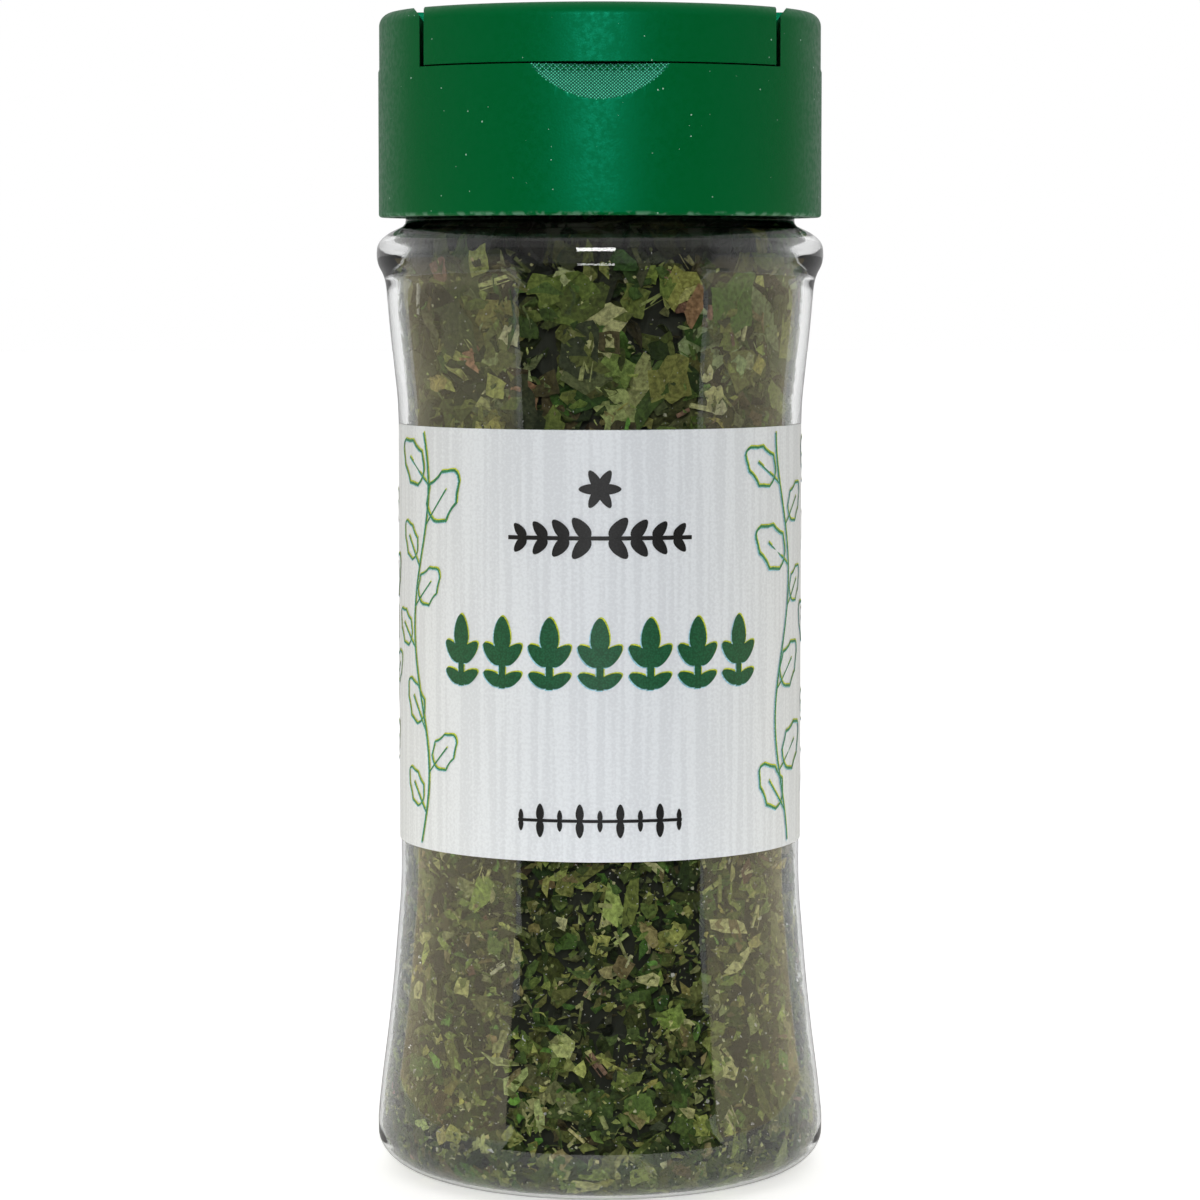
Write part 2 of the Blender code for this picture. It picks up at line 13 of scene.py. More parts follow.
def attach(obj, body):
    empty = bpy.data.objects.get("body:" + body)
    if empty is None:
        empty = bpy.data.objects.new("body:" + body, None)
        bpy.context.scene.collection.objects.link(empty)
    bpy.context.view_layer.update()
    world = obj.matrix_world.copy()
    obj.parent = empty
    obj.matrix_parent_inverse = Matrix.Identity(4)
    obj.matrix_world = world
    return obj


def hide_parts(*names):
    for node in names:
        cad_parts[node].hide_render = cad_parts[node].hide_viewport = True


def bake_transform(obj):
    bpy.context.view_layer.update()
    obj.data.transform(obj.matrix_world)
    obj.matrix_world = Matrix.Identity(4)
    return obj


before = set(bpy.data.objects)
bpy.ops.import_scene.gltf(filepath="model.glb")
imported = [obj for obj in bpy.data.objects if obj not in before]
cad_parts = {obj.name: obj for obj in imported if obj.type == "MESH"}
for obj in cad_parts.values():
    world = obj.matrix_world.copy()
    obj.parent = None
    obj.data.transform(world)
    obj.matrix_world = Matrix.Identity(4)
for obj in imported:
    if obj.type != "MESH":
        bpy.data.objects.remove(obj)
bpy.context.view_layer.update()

# The studio. The camera stands level with the jar's shoulder and looks slightly down. Backdrop and
# table are white, with low warm cards beside them. The room behind the camera is dark, with a pale
# ceiling, side walls that light the jar but aren't mirrored, and a soft lamp over the camera.
EYE_DISTANCE = 0.420
EYE_HEIGHT = 0.0906
LOOK_DOWN = math.radians(4.56)
LENS = 126.0
SENSOR = 36.0
GAP_LEFT = math.radians(-45.0)
GAP_RIGHT = math.radians(57.0)
BACKDROP_EDGE = math.radians(122.0)
BACKDROP_SOFT = 0.05
BACKDROP_LIGHT = 1.0
CEILING_EDGE = math.radians(20.0)
CEILING_SOFT = 0.06
CEILING_LIGHT = 0.44
OVERHEAD_EDGE = math.radians(58.0)
OVERHEAD_SOFT = 0.03
OVERHEAD_LIGHT = 0.9
SIDE_EDGE = math.radians(70.0)
SIDE_SOFT = 0.2
SIDE_LIGHT = 1.0
MIRRORED_SHARE = 0.66
ROOM_LIGHT = 0.03
LAMP_DISTANCE = 0.95
LAMP_ELEVATION = math.radians(13)
LAMP_TURN = math.radians(-2)
LAMP_AIM_HEIGHT = 0.06
LAMP_SIZE = (0.32, 0.20)
LAMP_POWER = 4.6
FLOOR_REACH = 4.0
FLOOR_FRONT = 0.075
FLOOR_WHITE = 0.86
FLOOR_WHITE_MIRRORED = 0.4
FLOOR_GLOW = 0.54
FLOOR_GLOW_MIRRORED = 0.1
CARD_REACH = 0.12
CARD_HEIGHT = 0.080
CARD_FADE_FROM = 0.035
CARD_WARM = (1.0, 0.90, 0.66, 1.0)
CARD_LOW_LIGHT = 0.80
CARD_TOP_LIGHT = 0.44
WHITE = (1.0, 1.0, 1.0, 1.0)

scene = bpy.context.scene
scene.view_settings.view_transform = "Standard"
scene.cycles.transmission_bounces = 16
scene.cycles.max_bounces = 20
scene.cycles.transparent_max_bounces = 16

camera_data = bpy.data.cameras.new("camera")
camera_data.lens = LENS
camera_data.sensor_width = SENSOR
camera_data.clip_start = 0.01
camera = bpy.data.objects.new("camera", camera_data)
camera.location = (0.0, -EYE_DISTANCE, EYE_HEIGHT)
camera.rotation_euler = (math.radians(90) - LOOK_DOWN, 0.0, 0.0)
scene.collection.objects.link(camera)
scene.camera = camera

lamp_data = bpy.data.lights.new("soft_lamp", "AREA")
lamp_data.shape = "RECTANGLE"
lamp_data.size, lamp_data.size_y = LAMP_SIZE
lamp_data.energy = LAMP_POWER
lamp = bpy.data.objects.new("soft_lamp", lamp_data)
lamp_reach = LAMP_DISTANCE * math.cos(LAMP_ELEVATION)
lamp.location = (lamp_reach * math.sin(LAMP_TURN), -lamp_reach * math.cos(LAMP_TURN),
                 EYE_HEIGHT + LAMP_DISTANCE * math.sin(LAMP_ELEVATION))
aim = Vector((0.0, 0.0, LAMP_AIM_HEIGHT)) - lamp.location
lamp.rotation_euler = aim.to_track_quat("-Z", "Y").to_euler()
scene.collection.objects.link(lamp)


def link(tree, source, target):
    """Join one node's output to another's input."""
    tree.links.new(source, target)


def math_node(tree, operation, first, second=None):
    """A Math node fed by sockets or plain numbers."""
    node = tree.nodes.new("ShaderNodeMath")
    node.operation = operation
    for slot, value in enumerate((first, second)):
        if value is None:
            continue
        if isinstance(value, (int, float)):
            node.inputs[slot].default_value = value
        else:
            link(tree, value, node.inputs[slot])
    return node.outputs[0]


def ramp(tree, value, low, high, from_value, to_value):
    """Map a value smoothly from one range to another."""
    node = tree.nodes.new("ShaderNodeMapRange")
    node.interpolation_type = "SMOOTHSTEP"
    link(tree, value, node.inputs["Value"])
    node.inputs["From Min"].default_value = low
    node.inputs["From Max"].default_value = high
    node.inputs["To Min"].default_value = from_value
    node.inputs["To Max"].default_value = to_value
    return node.outputs["Result"]


def mirrored(tree, share):
    """1 on all rays but those that a surface mirrors, which carry only the given share."""
    path = tree.nodes.new("ShaderNodeLightPath").outputs
    turned_back = math_node(tree, "SUBTRACT", path["Is Glossy Ray"], path["Is Transmission Ray"])
    dimmed = math_node(tree, "MULTIPLY", math_node(tree, "MAXIMUM", turned_back, 0.0), 1.0 - share)
    return math_node(tree, "SUBTRACT", 1.0, dimmed)


def split(tree, vector):
    """The X, Y and Z of a vector."""
    node = tree.nodes.new("ShaderNodeSeparateXYZ")
    link(tree, vector, node.inputs[0])
    return node.outputs


def either(tree, factor, first, second):
    """The first shader, or the second where the factor is 1."""
    node = tree.nodes.new("ShaderNodeMixShader")
    for source, socket in zip((factor, first, second), node.inputs):
        link(tree, source, socket)
    return node.outputs[0]


world = bpy.data.worlds.new("studio")
scene.world = world
world.use_nodes = True
sky = world.node_tree
sky.nodes.clear()


def lit_past(value, edge, soft, before, light):
    """Light of the room that sets in softly past an edge."""
    return ramp(sky, value, edge - soft, edge + soft, before, light)


direction = split(sky, sky.nodes.new("ShaderNodeTexCoord").outputs["Generated"])
turn_from_camera = math_node(sky, "ABSOLUTE", math_node(sky, "ARCTAN2", direction["X"],
                                                        math_node(sky, "MULTIPLY", direction["Y"], -1.0)))
ceiling = lit_past(direction["Z"], math.sin(CEILING_EDGE), CEILING_SOFT, ROOM_LIGHT, CEILING_LIGHT)
overhead = lit_past(direction["Z"], math.sin(OVERHEAD_EDGE), OVERHEAD_SOFT, 0.0, OVERHEAD_LIGHT)
behind_jar = lit_past(turn_from_camera, BACKDROP_EDGE, BACKDROP_SOFT, 0.0, BACKDROP_LIGHT)
side_walls = lit_past(turn_from_camera, SIDE_EDGE, SIDE_SOFT, 0.0, SIDE_LIGHT)
light_level = math_node(sky, "MULTIPLY", side_walls, mirrored(sky, 0.0))
for light in (ceiling, overhead, behind_jar):
    light_level = math_node(sky, "MAXIMUM", light_level, light)
surround = sky.nodes.new("ShaderNodeBackground")
link(sky, math_node(sky, "MULTIPLY", light_level, mirrored(sky, MIRRORED_SHARE)), surround.inputs["Strength"])
backdrop = sky.nodes.new("ShaderNodeBackground")
backdrop.inputs["Color"].default_value = WHITE
seen = sky.nodes.new("ShaderNodeLightPath").outputs["Is Camera Ray"]
link(sky, either(sky, seen, surround.outputs[0], backdrop.outputs[0]),
     sky.nodes.new("ShaderNodeOutputWorld").inputs["Surface"])


def principled(name, colour, roughness):
    """A Principled material with its tree, to which a section adds its own pattern."""
    material = bpy.data.materials.new(name)
    material.use_nodes = True
    shader = material.node_tree.nodes["Principled BSDF"]
    shader.inputs["Base Color"].default_value = (*colour[:3], 1.0)
    shader.inputs["Roughness"].default_value = roughness
    return material, material.node_tree, shader


def new_piece(name):
    """Name the object that the last operator added."""
    piece = bpy.context.active_object
    piece.name = name
    piece.data.name = name
    return piece


def started(name, add, **form):
    """Add a primitive with nothing else selected, and name it."""
    bpy.ops.object.select_all(action="DESELECT")
    add(**form)
    return new_piece(name)


def object_place(tree):
    """The point on the piece, in metres."""
    return tree.nodes.new("ShaderNodeTexCoord").outputs["Object"]


floor = started("floor", bpy.ops.mesh.primitive_circle_add, vertices=360, radius=FLOOR_REACH,
                fill_type="TRIFAN")
for vertex in floor.data.vertices:
    turn = math.atan2(vertex.co.x, -vertex.co.y)
    if vertex.co.length > 1.0 and GAP_LEFT < turn < GAP_RIGHT:
        vertex.co *= FLOOR_FRONT / FLOOR_REACH
floor_paper, floor_tree, floor_shader = principled("floor_paper", (FLOOR_WHITE,) * 3, 0.7)
floor_shader.inputs["Emission Color"].default_value = WHITE
for socket, share, level in (("Emission Strength", FLOOR_GLOW_MIRRORED, FLOOR_GLOW),
                             ("Base Color", FLOOR_WHITE_MIRRORED, FLOOR_WHITE)):
    link(floor_tree, math_node(floor_tree, "MULTIPLY", mirrored(floor_tree, share), level),
         floor_shader.inputs[socket])
floor.data.materials.append(floor_paper)

card_paper, card_tree, card_shader = principled("card_paper", (0.2, 0.18, 0.13), 0.8)
card_shader.inputs["Emission Color"].default_value = CARD_WARM
link(card_tree, ramp(card_tree, split(card_tree, object_place(card_tree))["Z"], CARD_FADE_FROM, CARD_HEIGHT,
                     CARD_LOW_LIGHT, CARD_TOP_LIGHT), card_shader.inputs["Emission Strength"])
for start, end in ((-BACKDROP_EDGE, GAP_LEFT), (GAP_RIGHT, BACKDROP_EDGE)):
    card = started("side_card", bpy.ops.mesh.primitive_grid_add, x_subdivisions=24, y_subdivisions=1,
                   size=1.0)
    for vertex in card.data.vertices:
        turn = start + (end - start) * (vertex.co.x + 0.5)
        vertex.co = (CARD_REACH * math.sin(turn), -CARD_REACH * math.cos(turn),
                     CARD_HEIGHT * (vertex.co.y + 0.5))
    card.data.materials.append(card_paper)
    card.visible_camera = False

# The jar. One blow-moulded piece of clear plastic: a rounded heel round a pushed-up base, a foot
# that narrows to the waist, a shoulder that flares to a rolled bead, and a neck. It is turned from
# one closed outline, the outside and the inside in one run.
JAR_STEPS = 192
FOOT_RADIUS = 0.02238
HEEL_HEIGHT = 0.0037
RING_OUTER = 0.0166
RING_INNER = 0.0150
PUSH_UP = 0.0016
FOOT = ((0.0037, 0.02238), (0.0052, 0.02238), (0.0089, 0.0220), (0.0140, 0.02135), (0.0190, 0.0208),
        (0.0242, 0.02035), (0.0280, 0.02004), (0.0318, 0.01996), (0.0370, 0.02006), (0.0420, 0.0201))
SHOULDER = ((0.0746, 0.0201), (0.0772, 0.02019), (0.0796, 0.02043), (0.0846, 0.02096), (0.0871, 0.02118),
            (0.0883, 0.02129), (0.0891, 0.02142), (0.0898, 0.02166), (0.0905, 0.02202), (0.0912, 0.0222),
            (0.0919, 0.02222), (0.0926, 0.0221), (0.0932, 0.0217), (0.0938, 0.0209), (0.0942, 0.0201),
            (0.0945, 0.0195), (0.0950, 0.01935))
NECK_RADIUS = 0.01935
NECK_BORE = 0.01805
LIP_HEIGHT = 0.1076
WALL_FOOT = 0.0003
INNER_FLOOR = 0.0003
INNER_HEEL = 0.0037
WALL_SHOULDER = 0.0009
WALL_THICKENS_FROM = 0.03
WALL_THICKENS_OVER = 0.05
WAIST_HEIGHT = 0.058
NECK_TURN_LOW = 0.0905
NECK_TURN_HIGH = 0.0940
LIP_ROUND = 0.0004
CURVE_STEP = 0.0006
WAIST_STEP = 0.008


def clamped(value, low=0.0, high=1.0):
    """The value, held between two limits."""
    return min(max(value, low), high)


def along(knots, height):
    """Radius at a height on a smooth curve through (height, radius) knots."""
    height = clamped(height, knots[0][0], knots[-1][0])
    i = max(k for k in range(len(knots) - 1) if height >= knots[k][0])
    before, low = knots[max(i - 1, 0)], knots[i]
    high, after = knots[i + 1], knots[min(i + 2, len(knots) - 1)]
    span = high[0] - low[0]
    t = (height - low[0]) / span
    slope_low = (high[1] - before[1]) / (high[0] - before[0]) * span
    slope_high = (after[1] - low[1]) / (after[0] - low[0]) * span
    bow = t * (1 - t) * ((1 - t) * (slope_low - high[1] + low[1]) - t * (slope_high - high[1] + low[1]))
    return low[1] + t * (high[1] - low[1]) + bow


def jar_outside(height):
    """Outer radius of the jar at a height."""
    if height < HEEL_HEIGHT:
        drop = 1 - max(height, 0.0) / HEEL_HEIGHT
        return RING_OUTER + (FOOT_RADIUS - RING_OUTER) * math.sqrt(1 - drop * drop)
    return along(FOOT if height < WAIST_HEIGHT else SHOULDER, height)


def jar_inside(height):
    """Inner radius of the jar at a height: the wall is thicker towards the shoulder."""
    share = clamped((height - WALL_THICKENS_FROM) / WALL_THICKENS_OVER)
    wall = WALL_FOOT + (WALL_SHOULDER - WALL_FOOT) * share
    if height < INNER_HEEL:
        drop = 1 - max(height - INNER_FLOOR, 0.0) / (INNER_HEEL - INNER_FLOOR)
        reach = jar_outside(INNER_HEEL) - wall - RING_OUTER
        return RING_OUTER + reach * math.sqrt(max(0.0, 1 - drop * drop))
    if height > NECK_TURN_LOW:
        rise = min((height - NECK_TURN_LOW) / (NECK_TURN_HIGH - NECK_TURN_LOW), 1.0)
        wide = jar_outside(NECK_TURN_LOW) - wall
        return NECK_BORE + (wide - NECK_BORE) * math.sqrt(1 - rise * rise)
    return jar_outside(height) - wall


def arc(centre, radii, start, end, steps):
    """Points (radius, height) on an elliptical arc, angles in degrees from the outward side."""
    angles = [math.radians(start + (end - start) * i / steps) for i in range(steps + 1)]
    return [(centre[0] + radii[0] * math.cos(a), centre[1] + radii[1] * math.sin(a)) for a in angles]


def levels(low, high, step):
    """Heights from low to high, evenly spaced."""
    count = max(1, round((high - low) / step))
    return [low + (high - low) * i / count for i in range(count + 1)]


def edit_all():
    """Open the active piece for editing, with all of it selected."""
    bpy.ops.object.mode_set(mode="EDIT")
    bpy.ops.mesh.select_all(action="SELECT")


def edit_done(outward=False):
    """Close the active piece again, and first turn all its faces outward where that is asked."""
    if outward:
        bpy.ops.mesh.select_all(action="SELECT")
        bpy.ops.mesh.normals_make_consistent(inside=False)
    bpy.ops.object.mode_set(mode="OBJECT")


def turned(name, outline, steps):
    """Draw an outline of (radius, height) points vertex by vertex and spin it round the jar's axis."""
    piece = started(name, bpy.ops.mesh.primitive_plane_add, size=0.001)
    edit_all()
    bpy.ops.mesh.merge(type="CENTER")
    bpy.ops.transform.translate(value=(outline[0][0], 0.0, outline[0][1]))
    for here, there in zip(outline, outline[1:]):
        step = (there[0] - here[0], 0.0, there[1] - here[1])
        bpy.ops.mesh.extrude_vertices_move(TRANSFORM_OT_translate={"value": step})
    bpy.ops.mesh.select_all(action="SELECT")
    bpy.ops.mesh.spin(steps=steps, angle=math.tau, center=(0, 0, 0), axis=(0, 0, 1))
    bpy.ops.mesh.select_all(action="SELECT")
    bpy.ops.mesh.remove_doubles(threshold=0.000002)
    edit_done(outward=True)
    return piece


# Bands of height and the step between points: finer where the wall turns.
outside = [(NECK_BORE + 0.0003, LIP_HEIGHT)] + arc((NECK_RADIUS - LIP_ROUND, LIP_HEIGHT - LIP_ROUND),
                                                  (LIP_ROUND, LIP_ROUND), 90, 0, 4)
for low, high, step in ((0.0870, 0.0950, CURVE_STEP / 2), (0.0746, 0.0866, CURVE_STEP * 2),
                        (0.0420, 0.0740, WAIST_STEP), (HEEL_HEIGHT, 0.0410, CURVE_STEP * 2)):
    outside += [(jar_outside(h), h) for h in reversed(levels(low, high, step))]
outside += arc((RING_OUTER, HEEL_HEIGHT), (FOOT_RADIUS - RING_OUTER, HEEL_HEIGHT), 0, -90, 16)[1:]
outside += [(RING_INNER, 0.0), (RING_INNER - 0.0006, 0.0003), (RING_INNER - 0.0012, 0.0010),
            (RING_INNER - 0.0030, PUSH_UP * 0.85), (RING_INNER * 0.4, PUSH_UP), (0.0, PUSH_UP)]
inside = [(0.0, PUSH_UP + 0.0007), (RING_INNER * 0.4, PUSH_UP + 0.0007), (RING_INNER - 0.0026, 0.0019),
          (RING_INNER - 0.0010, 0.0013), (RING_INNER, INNER_FLOOR + 0.00005)]
inside += [(jar_inside(INNER_FLOOR + rise), INNER_FLOOR + rise)
           for rise in (0.0, 0.00004, 0.00016, 0.0004, 0.0008, 0.0013, 0.0019, 0.0026, 0.0034)]
for low, high, step in ((0.0046, 0.0410, CURVE_STEP * 2), (0.0450, 0.0740, WAIST_STEP),
                        (0.0746, NECK_TURN_LOW, CURVE_STEP * 2), (0.0910, NECK_TURN_HIGH, CURVE_STEP / 2)):
    inside += [(jar_inside(h), h) for h in levels(low, high, step)]
inside += [(NECK_BORE, LIP_HEIGHT - 0.0003)]
jar = turned("jar_clear", inside + outside, JAR_STEPS)
bpy.ops.object.shade_smooth()


def clear_plastic():
    """Clear plastic that bends what the eye sees and lets the lamps' light through to the fill."""
    material, tree, shader = principled("clear_plastic", (0.965, 0.975, 0.97), 0.0)
    shader.inputs["Transmission Weight"].default_value = 1.0
    shader.inputs["IOR"].default_value = 1.5
    path = tree.nodes.new("ShaderNodeLightPath").outputs
    lit = math_node(tree, "MAXIMUM", path["Is Shadow Ray"], path["Is Diffuse Ray"])
    open_to_light = tree.nodes.new("ShaderNodeBsdfTransparent")
    open_to_light.inputs["Color"].default_value = (0.93, 0.94, 0.935, 1.0)
    link(tree, either(tree, lit, shader.outputs[0], open_to_light.outputs[0]),
         tree.nodes["Material Output"].inputs["Surface"])
    return material


clear = clear_plastic()
jar.data.materials.append(clear)
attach(jar, "jar_body")
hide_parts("jar")

# The neck's screw thread: a ridge of trapezoid section, one and a half turns, blown in one with
# the neck. The cap's skirt has its mate inside, half a pitch lower.
THREAD_PITCH = 0.0032
THREAD_TURNS = 1.5
THREAD_STEPS = 96
THREAD_ROOT_HALF = 0.0009
THREAD_CREST_HALF = 0.00035
THREAD_SUNK = 0.0004
THREAD_TURN = math.radians(3.3)
NECK_THREAD_START = 0.1003
NECK_THREAD_CREST = 0.0201
SMOOTH_BELOW = math.radians(35)


def modified(piece, kind, **form):
    """Give the active piece a modifier of the given form and apply it."""
    modifier = piece.modifiers.new(kind, kind)
    for setting, value in form.items():
        setattr(modifier, setting, value)
    bpy.ops.object.modifier_apply(modifier=modifier.name)


def thread_ridge(name, root, crest, start, material):
    """Sweep the thread's section up round the axis and close its two ends."""
    ridge = started(name, bpy.ops.mesh.primitive_plane_add, size=1.0)
    for vertex in ridge.data.vertices:
        radius, half = (crest, THREAD_CREST_HALF) if vertex.co.x > 0 else (root, THREAD_ROOT_HALF)
        vertex.co = (radius, 0.0, start + math.copysign(half, vertex.co.y))
    edit_all()
    bpy.ops.mesh.delete(type="ONLY_FACE")
    edit_done()
    steps = round(THREAD_STEPS * THREAD_TURNS)
    modified(ridge, "SCREW", angle=math.tau * THREAD_TURNS, screw_offset=THREAD_PITCH * THREAD_TURNS,
             steps=steps, render_steps=steps)
    ridge.data.transform(Matrix.Rotation(THREAD_TURN, 4, "Z"))
    edit_all()
    bpy.ops.mesh.fill_holes(sides=0)
    edit_done(outward=True)
    bpy.ops.object.shade_smooth_by_angle(angle=SMOOTH_BELOW)
    ridge.data.materials.append(material)
    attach(ridge, "jar_body")
    return ridge


neck_thread = thread_ridge("neck_thread", NECK_RADIUS - THREAD_SUNK, NECK_THREAD_CREST, NECK_THREAD_START,
                           clear)

# The fill. Dried parsley leaf, torn small: larger crumpled flakes, straws and yellow bits towards
# the top, finer flakes and crumbs towards the foot, all pressed against the inside of the jar. Each
# kind of scrap is modelled once, and the fill is made of seeded copies round a slimmer core that is
# near black, as painted shade of the fill's depths. The copies' colours carry painted shade too:
# darker the deeper they lie, near the neck under the cap, and in the heel.
HERB_CLEARANCE = 0.00005
CORE_DEPTH = 0.0019
HERB_FLOOR = 0.0004
HERB_SURFACE = 0.0985
# Painted shade: scrap colours darken towards the neck, as under the cap, and with depth below the wall.
NECK_SHADE_LOW = 0.0906
NECK_SHADE_HIGH = 0.0922
NECK_SHADE = 0.95
LEAF_LIGHT = 1.45
LEAF_STOPS = (-1.6, 0.9)
DEEP = 0.0007
DEEP_SHADE = 0.80
PALEST = 0.30
WALL_STEP = 0.0001
HEEL_SHADE = 0.62
STRAW_RADIUS = 0.09
STRAW_DEPTH = 0.0003
MOTTLE_SCALE = 2400.0
VEINS = 6.0
LEAF_COLOURS = (((0.056, 0.074, 0.016), 30), ((0.028, 0.046, 0.010), 20), ((0.096, 0.108, 0.028), 20),
                ((0.070, 0.058, 0.024), 7), ((0.150, 0.165, 0.062), 9), ((0.038, 0.082, 0.014), 7),
                ((0.018, 0.022, 0.010), 6), ((0.200, 0.190, 0.050), 2))
BRIGHT_COLOURS = (((0.310, 0.270, 0.070), 5), ((0.230, 0.220, 0.070), 4), ((0.190, 0.110, 0.060), 2),
                  ((0.130, 0.070, 0.045), 1))
STEM_COLOURS = (((0.150, 0.155, 0.060), 5), ((0.095, 0.110, 0.035), 6), ((0.240, 0.210, 0.110), 2),
                ((0.120, 0.070, 0.050), 3))
CRUMB_COLOURS = (((0.110, 0.125, 0.040), 8), ((0.060, 0.085, 0.022), 8), ((0.220, 0.220, 0.100), 4),
                 ((0.300, 0.240, 0.120), 1))
DUST_COLOURS = (((0.45, 0.46, 0.30), 3), ((0.26, 0.29, 0.14), 4))
draw = random.Random(7)


def scrap(name, corners, lobe, stretch, fold, curl, cuts, thickness):
    """One leaf scrap of about unit radius: a torn outline, folded along its rib and crumpled."""
    piece = started(name, bpy.ops.mesh.primitive_circle_add, vertices=corners, radius=1.0,
                    fill_type="TRIFAN")
    for i, vertex in enumerate(piece.data.vertices):
        if vertex.co.length > 0.5:
            reach = draw.uniform(0.70, 1.12) * (1.0 - lobe * (i % 2))
            turn = math.atan2(vertex.co.y, vertex.co.x) + draw.uniform(-0.35, 0.35) * math.tau / corners
            vertex.co = (reach * math.cos(turn), reach * math.sin(turn), 0.0)
    if cuts:
        edit_all()
        bpy.ops.mesh.subdivide(number_cuts=cuts)
        edit_done()
    phase = Vector((draw.uniform(0, 50), draw.uniform(0, 50), draw.uniform(0, 50)))
    crease = draw.uniform(-0.25, 0.25)
    for vertex in piece.data.vertices:
        x, y = vertex.co.x, vertex.co.y
        lift = fold * abs(x - crease * y) + curl * y * y
        lift += 0.34 * noise.noise(vertex.co * 1.7 + phase) + 0.16 * noise.noise(vertex.co * 4.0 + phase)
        wander = 0.07 * noise.noise(vertex.co * 3.0 - phase)
        vertex.co = (x * stretch + wander, y / math.sqrt(stretch) - wander, lift)
    modified(piece, "SOLIDIFY", thickness=thickness, offset=0.0)
    return piece


def straw(name, sides, bend):
    """A dry bit of stem of unit length along Y, slightly bent, with torn ends."""
    piece = started(name, bpy.ops.mesh.primitive_cylinder_add, vertices=sides, radius=STRAW_RADIUS,
                    depth=0.5, rotation=(math.radians(90), 0, 0))
    bpy.ops.object.transform_apply(location=False, rotation=True, scale=False)
    for side in (1, -1):
        for polygon in piece.data.polygons:
            polygon.select = polygon.normal.y * side > 0.9
        bpy.ops.object.mode_set(mode="EDIT")
        bpy.ops.mesh.extrude_region_move(TRANSFORM_OT_translate={"value": (bend, side * 0.3, bend * 0.5)})
        bpy.ops.transform.resize(value=(0.5, 1.0, 0.4))
        edit_done()
    for vertex in piece.data.vertices:
        if abs(vertex.co.y) > 0.5:
            vertex.co.y += draw.uniform(-0.08, 0.08)
    return piece


# Corners, lobes, stretch, fold and curl of each form.
large_scraps = [scrap("large_scrap", *form, 2, 0.035) for form in (
    (10, 0.20, 1.0, 0.45, -0.2), (7, 0.0, 1.35, -0.25, 0.25), (12, 0.28, 0.85, 0.6, 0.1),
    (6, 0.0, 1.7, 0.15, -0.35), (8, 0.12, 1.15, -0.5, -0.1), (7, 0.1, 0.8, 0.8, 0.2),
    (10, 0.22, 1.3, 0.1, 0.3), (6, 0.1, 2.1, -0.9, 0.0))]
medium_scraps = [scrap("medium_scrap", *form, 1, 0.05) for form in (
    (8, 0.2, 1.0, 0.4, 0.2), (6, 0.0, 1.5, -0.3, 0.3), (7, 0.2, 0.9, 0.5, -0.3),
    (5, 0.0, 1.9, 0.3, 0.1), (8, 0.15, 1.3, -0.6, -0.2), (6, 0.1, 2.4, 0.7, 0.2))]
small_scraps = [scrap("small_scrap", *form, 0, 0.09) for form in (
    (7, 0.3, 1.0, 0.3, 0.2), (5, 0.0, 1.4, -0.3, 0.3), (6, 0.3, 0.8, 0.4, -0.3),
    (4, 0.0, 1.8, 0.2, 0.1), (5, 0.0, 2.4, 0.5, -0.2))]
crumbs = [scrap("crumb", *form, 0, 0.35) for form in ((5, 0.1, 1.0, 0.4, 0.2), (4, 0.1, 1.5, 0.4, 0.2))]
straws = [straw("straw", *form) for form in ((6, 0.05), (6, -0.12), (5, 0.2))]


def pick(weighted):
    """One of the colours, by weight."""
    return draw.choices([item for item, weight in weighted], [weight for item, weight in weighted])[0]


def jar_floor(radius):
    """Height of the jar's inner floor: flat over the push-up, lowest over the standing ring."""
    share = clamped((RING_INNER - radius) / 0.0026)
    return INNER_FLOOR + (PUSH_UP + 0.0008 - INNER_FLOOR) * share * share * (3 - 2 * share)


wall_line = [jar_inside(i * WALL_STEP) for i in range(round(LIP_HEIGHT / WALL_STEP))]


def wall_at(height):
    """Inner radius at a height, read between closely spaced steps, which is quicker than the curve."""
    place = height / WALL_STEP
    low = int(place)
    return wall_line[low] + (place - low) * (wall_line[low + 1] - wall_line[low])


def press(mesh, depth, ceiling):
    """Push every corner of a scrap back inside the jar, as if it lay against the wall."""
    for vertex in mesh.vertices:
        x, y, z = vertex.co
        z = min(max(z, HERB_FLOOR), ceiling)
        room = wall_at(z) - HERB_CLEARANCE - depth
        across = math.hypot(x, y)
        if across > room:
            x, y = x * room / across, y * room / across
        vertex.co = (x, y, max(z, jar_floor(math.hypot(x, y)) + HERB_CLEARANCE))


def round_axis(radius, turn, height):
    """The point at a radius from the jar's axis, a turn round it and a height."""
    return radius * math.cos(turn), radius * math.sin(turn), height


def facing_out(angle, height, radius, droop=0.0):
    """A frame whose Z axis points out of the fill's side, or lower by the droop."""
    centre = Matrix.Translation(round_axis(radius, angle, height))
    return centre @ Matrix.Rotation(angle, 4, "Z") @ Matrix.Rotation(math.radians(90) + droop, 4, "Y")


def tilted(amount):
    """A random tilt and spin."""
    lean = Matrix.Rotation(draw.gauss(0, amount), 4, "X") @ Matrix.Rotation(draw.gauss(0, amount), 4, "Y")
    return lean @ Matrix.Rotation(draw.uniform(0, math.tau), 4, "Z")


def shown(name, mesh):
    """An object of a mesh, in the scene."""
    piece = bpy.data.objects.new(name, mesh)
    scene.collection.objects.link(piece)
    return piece


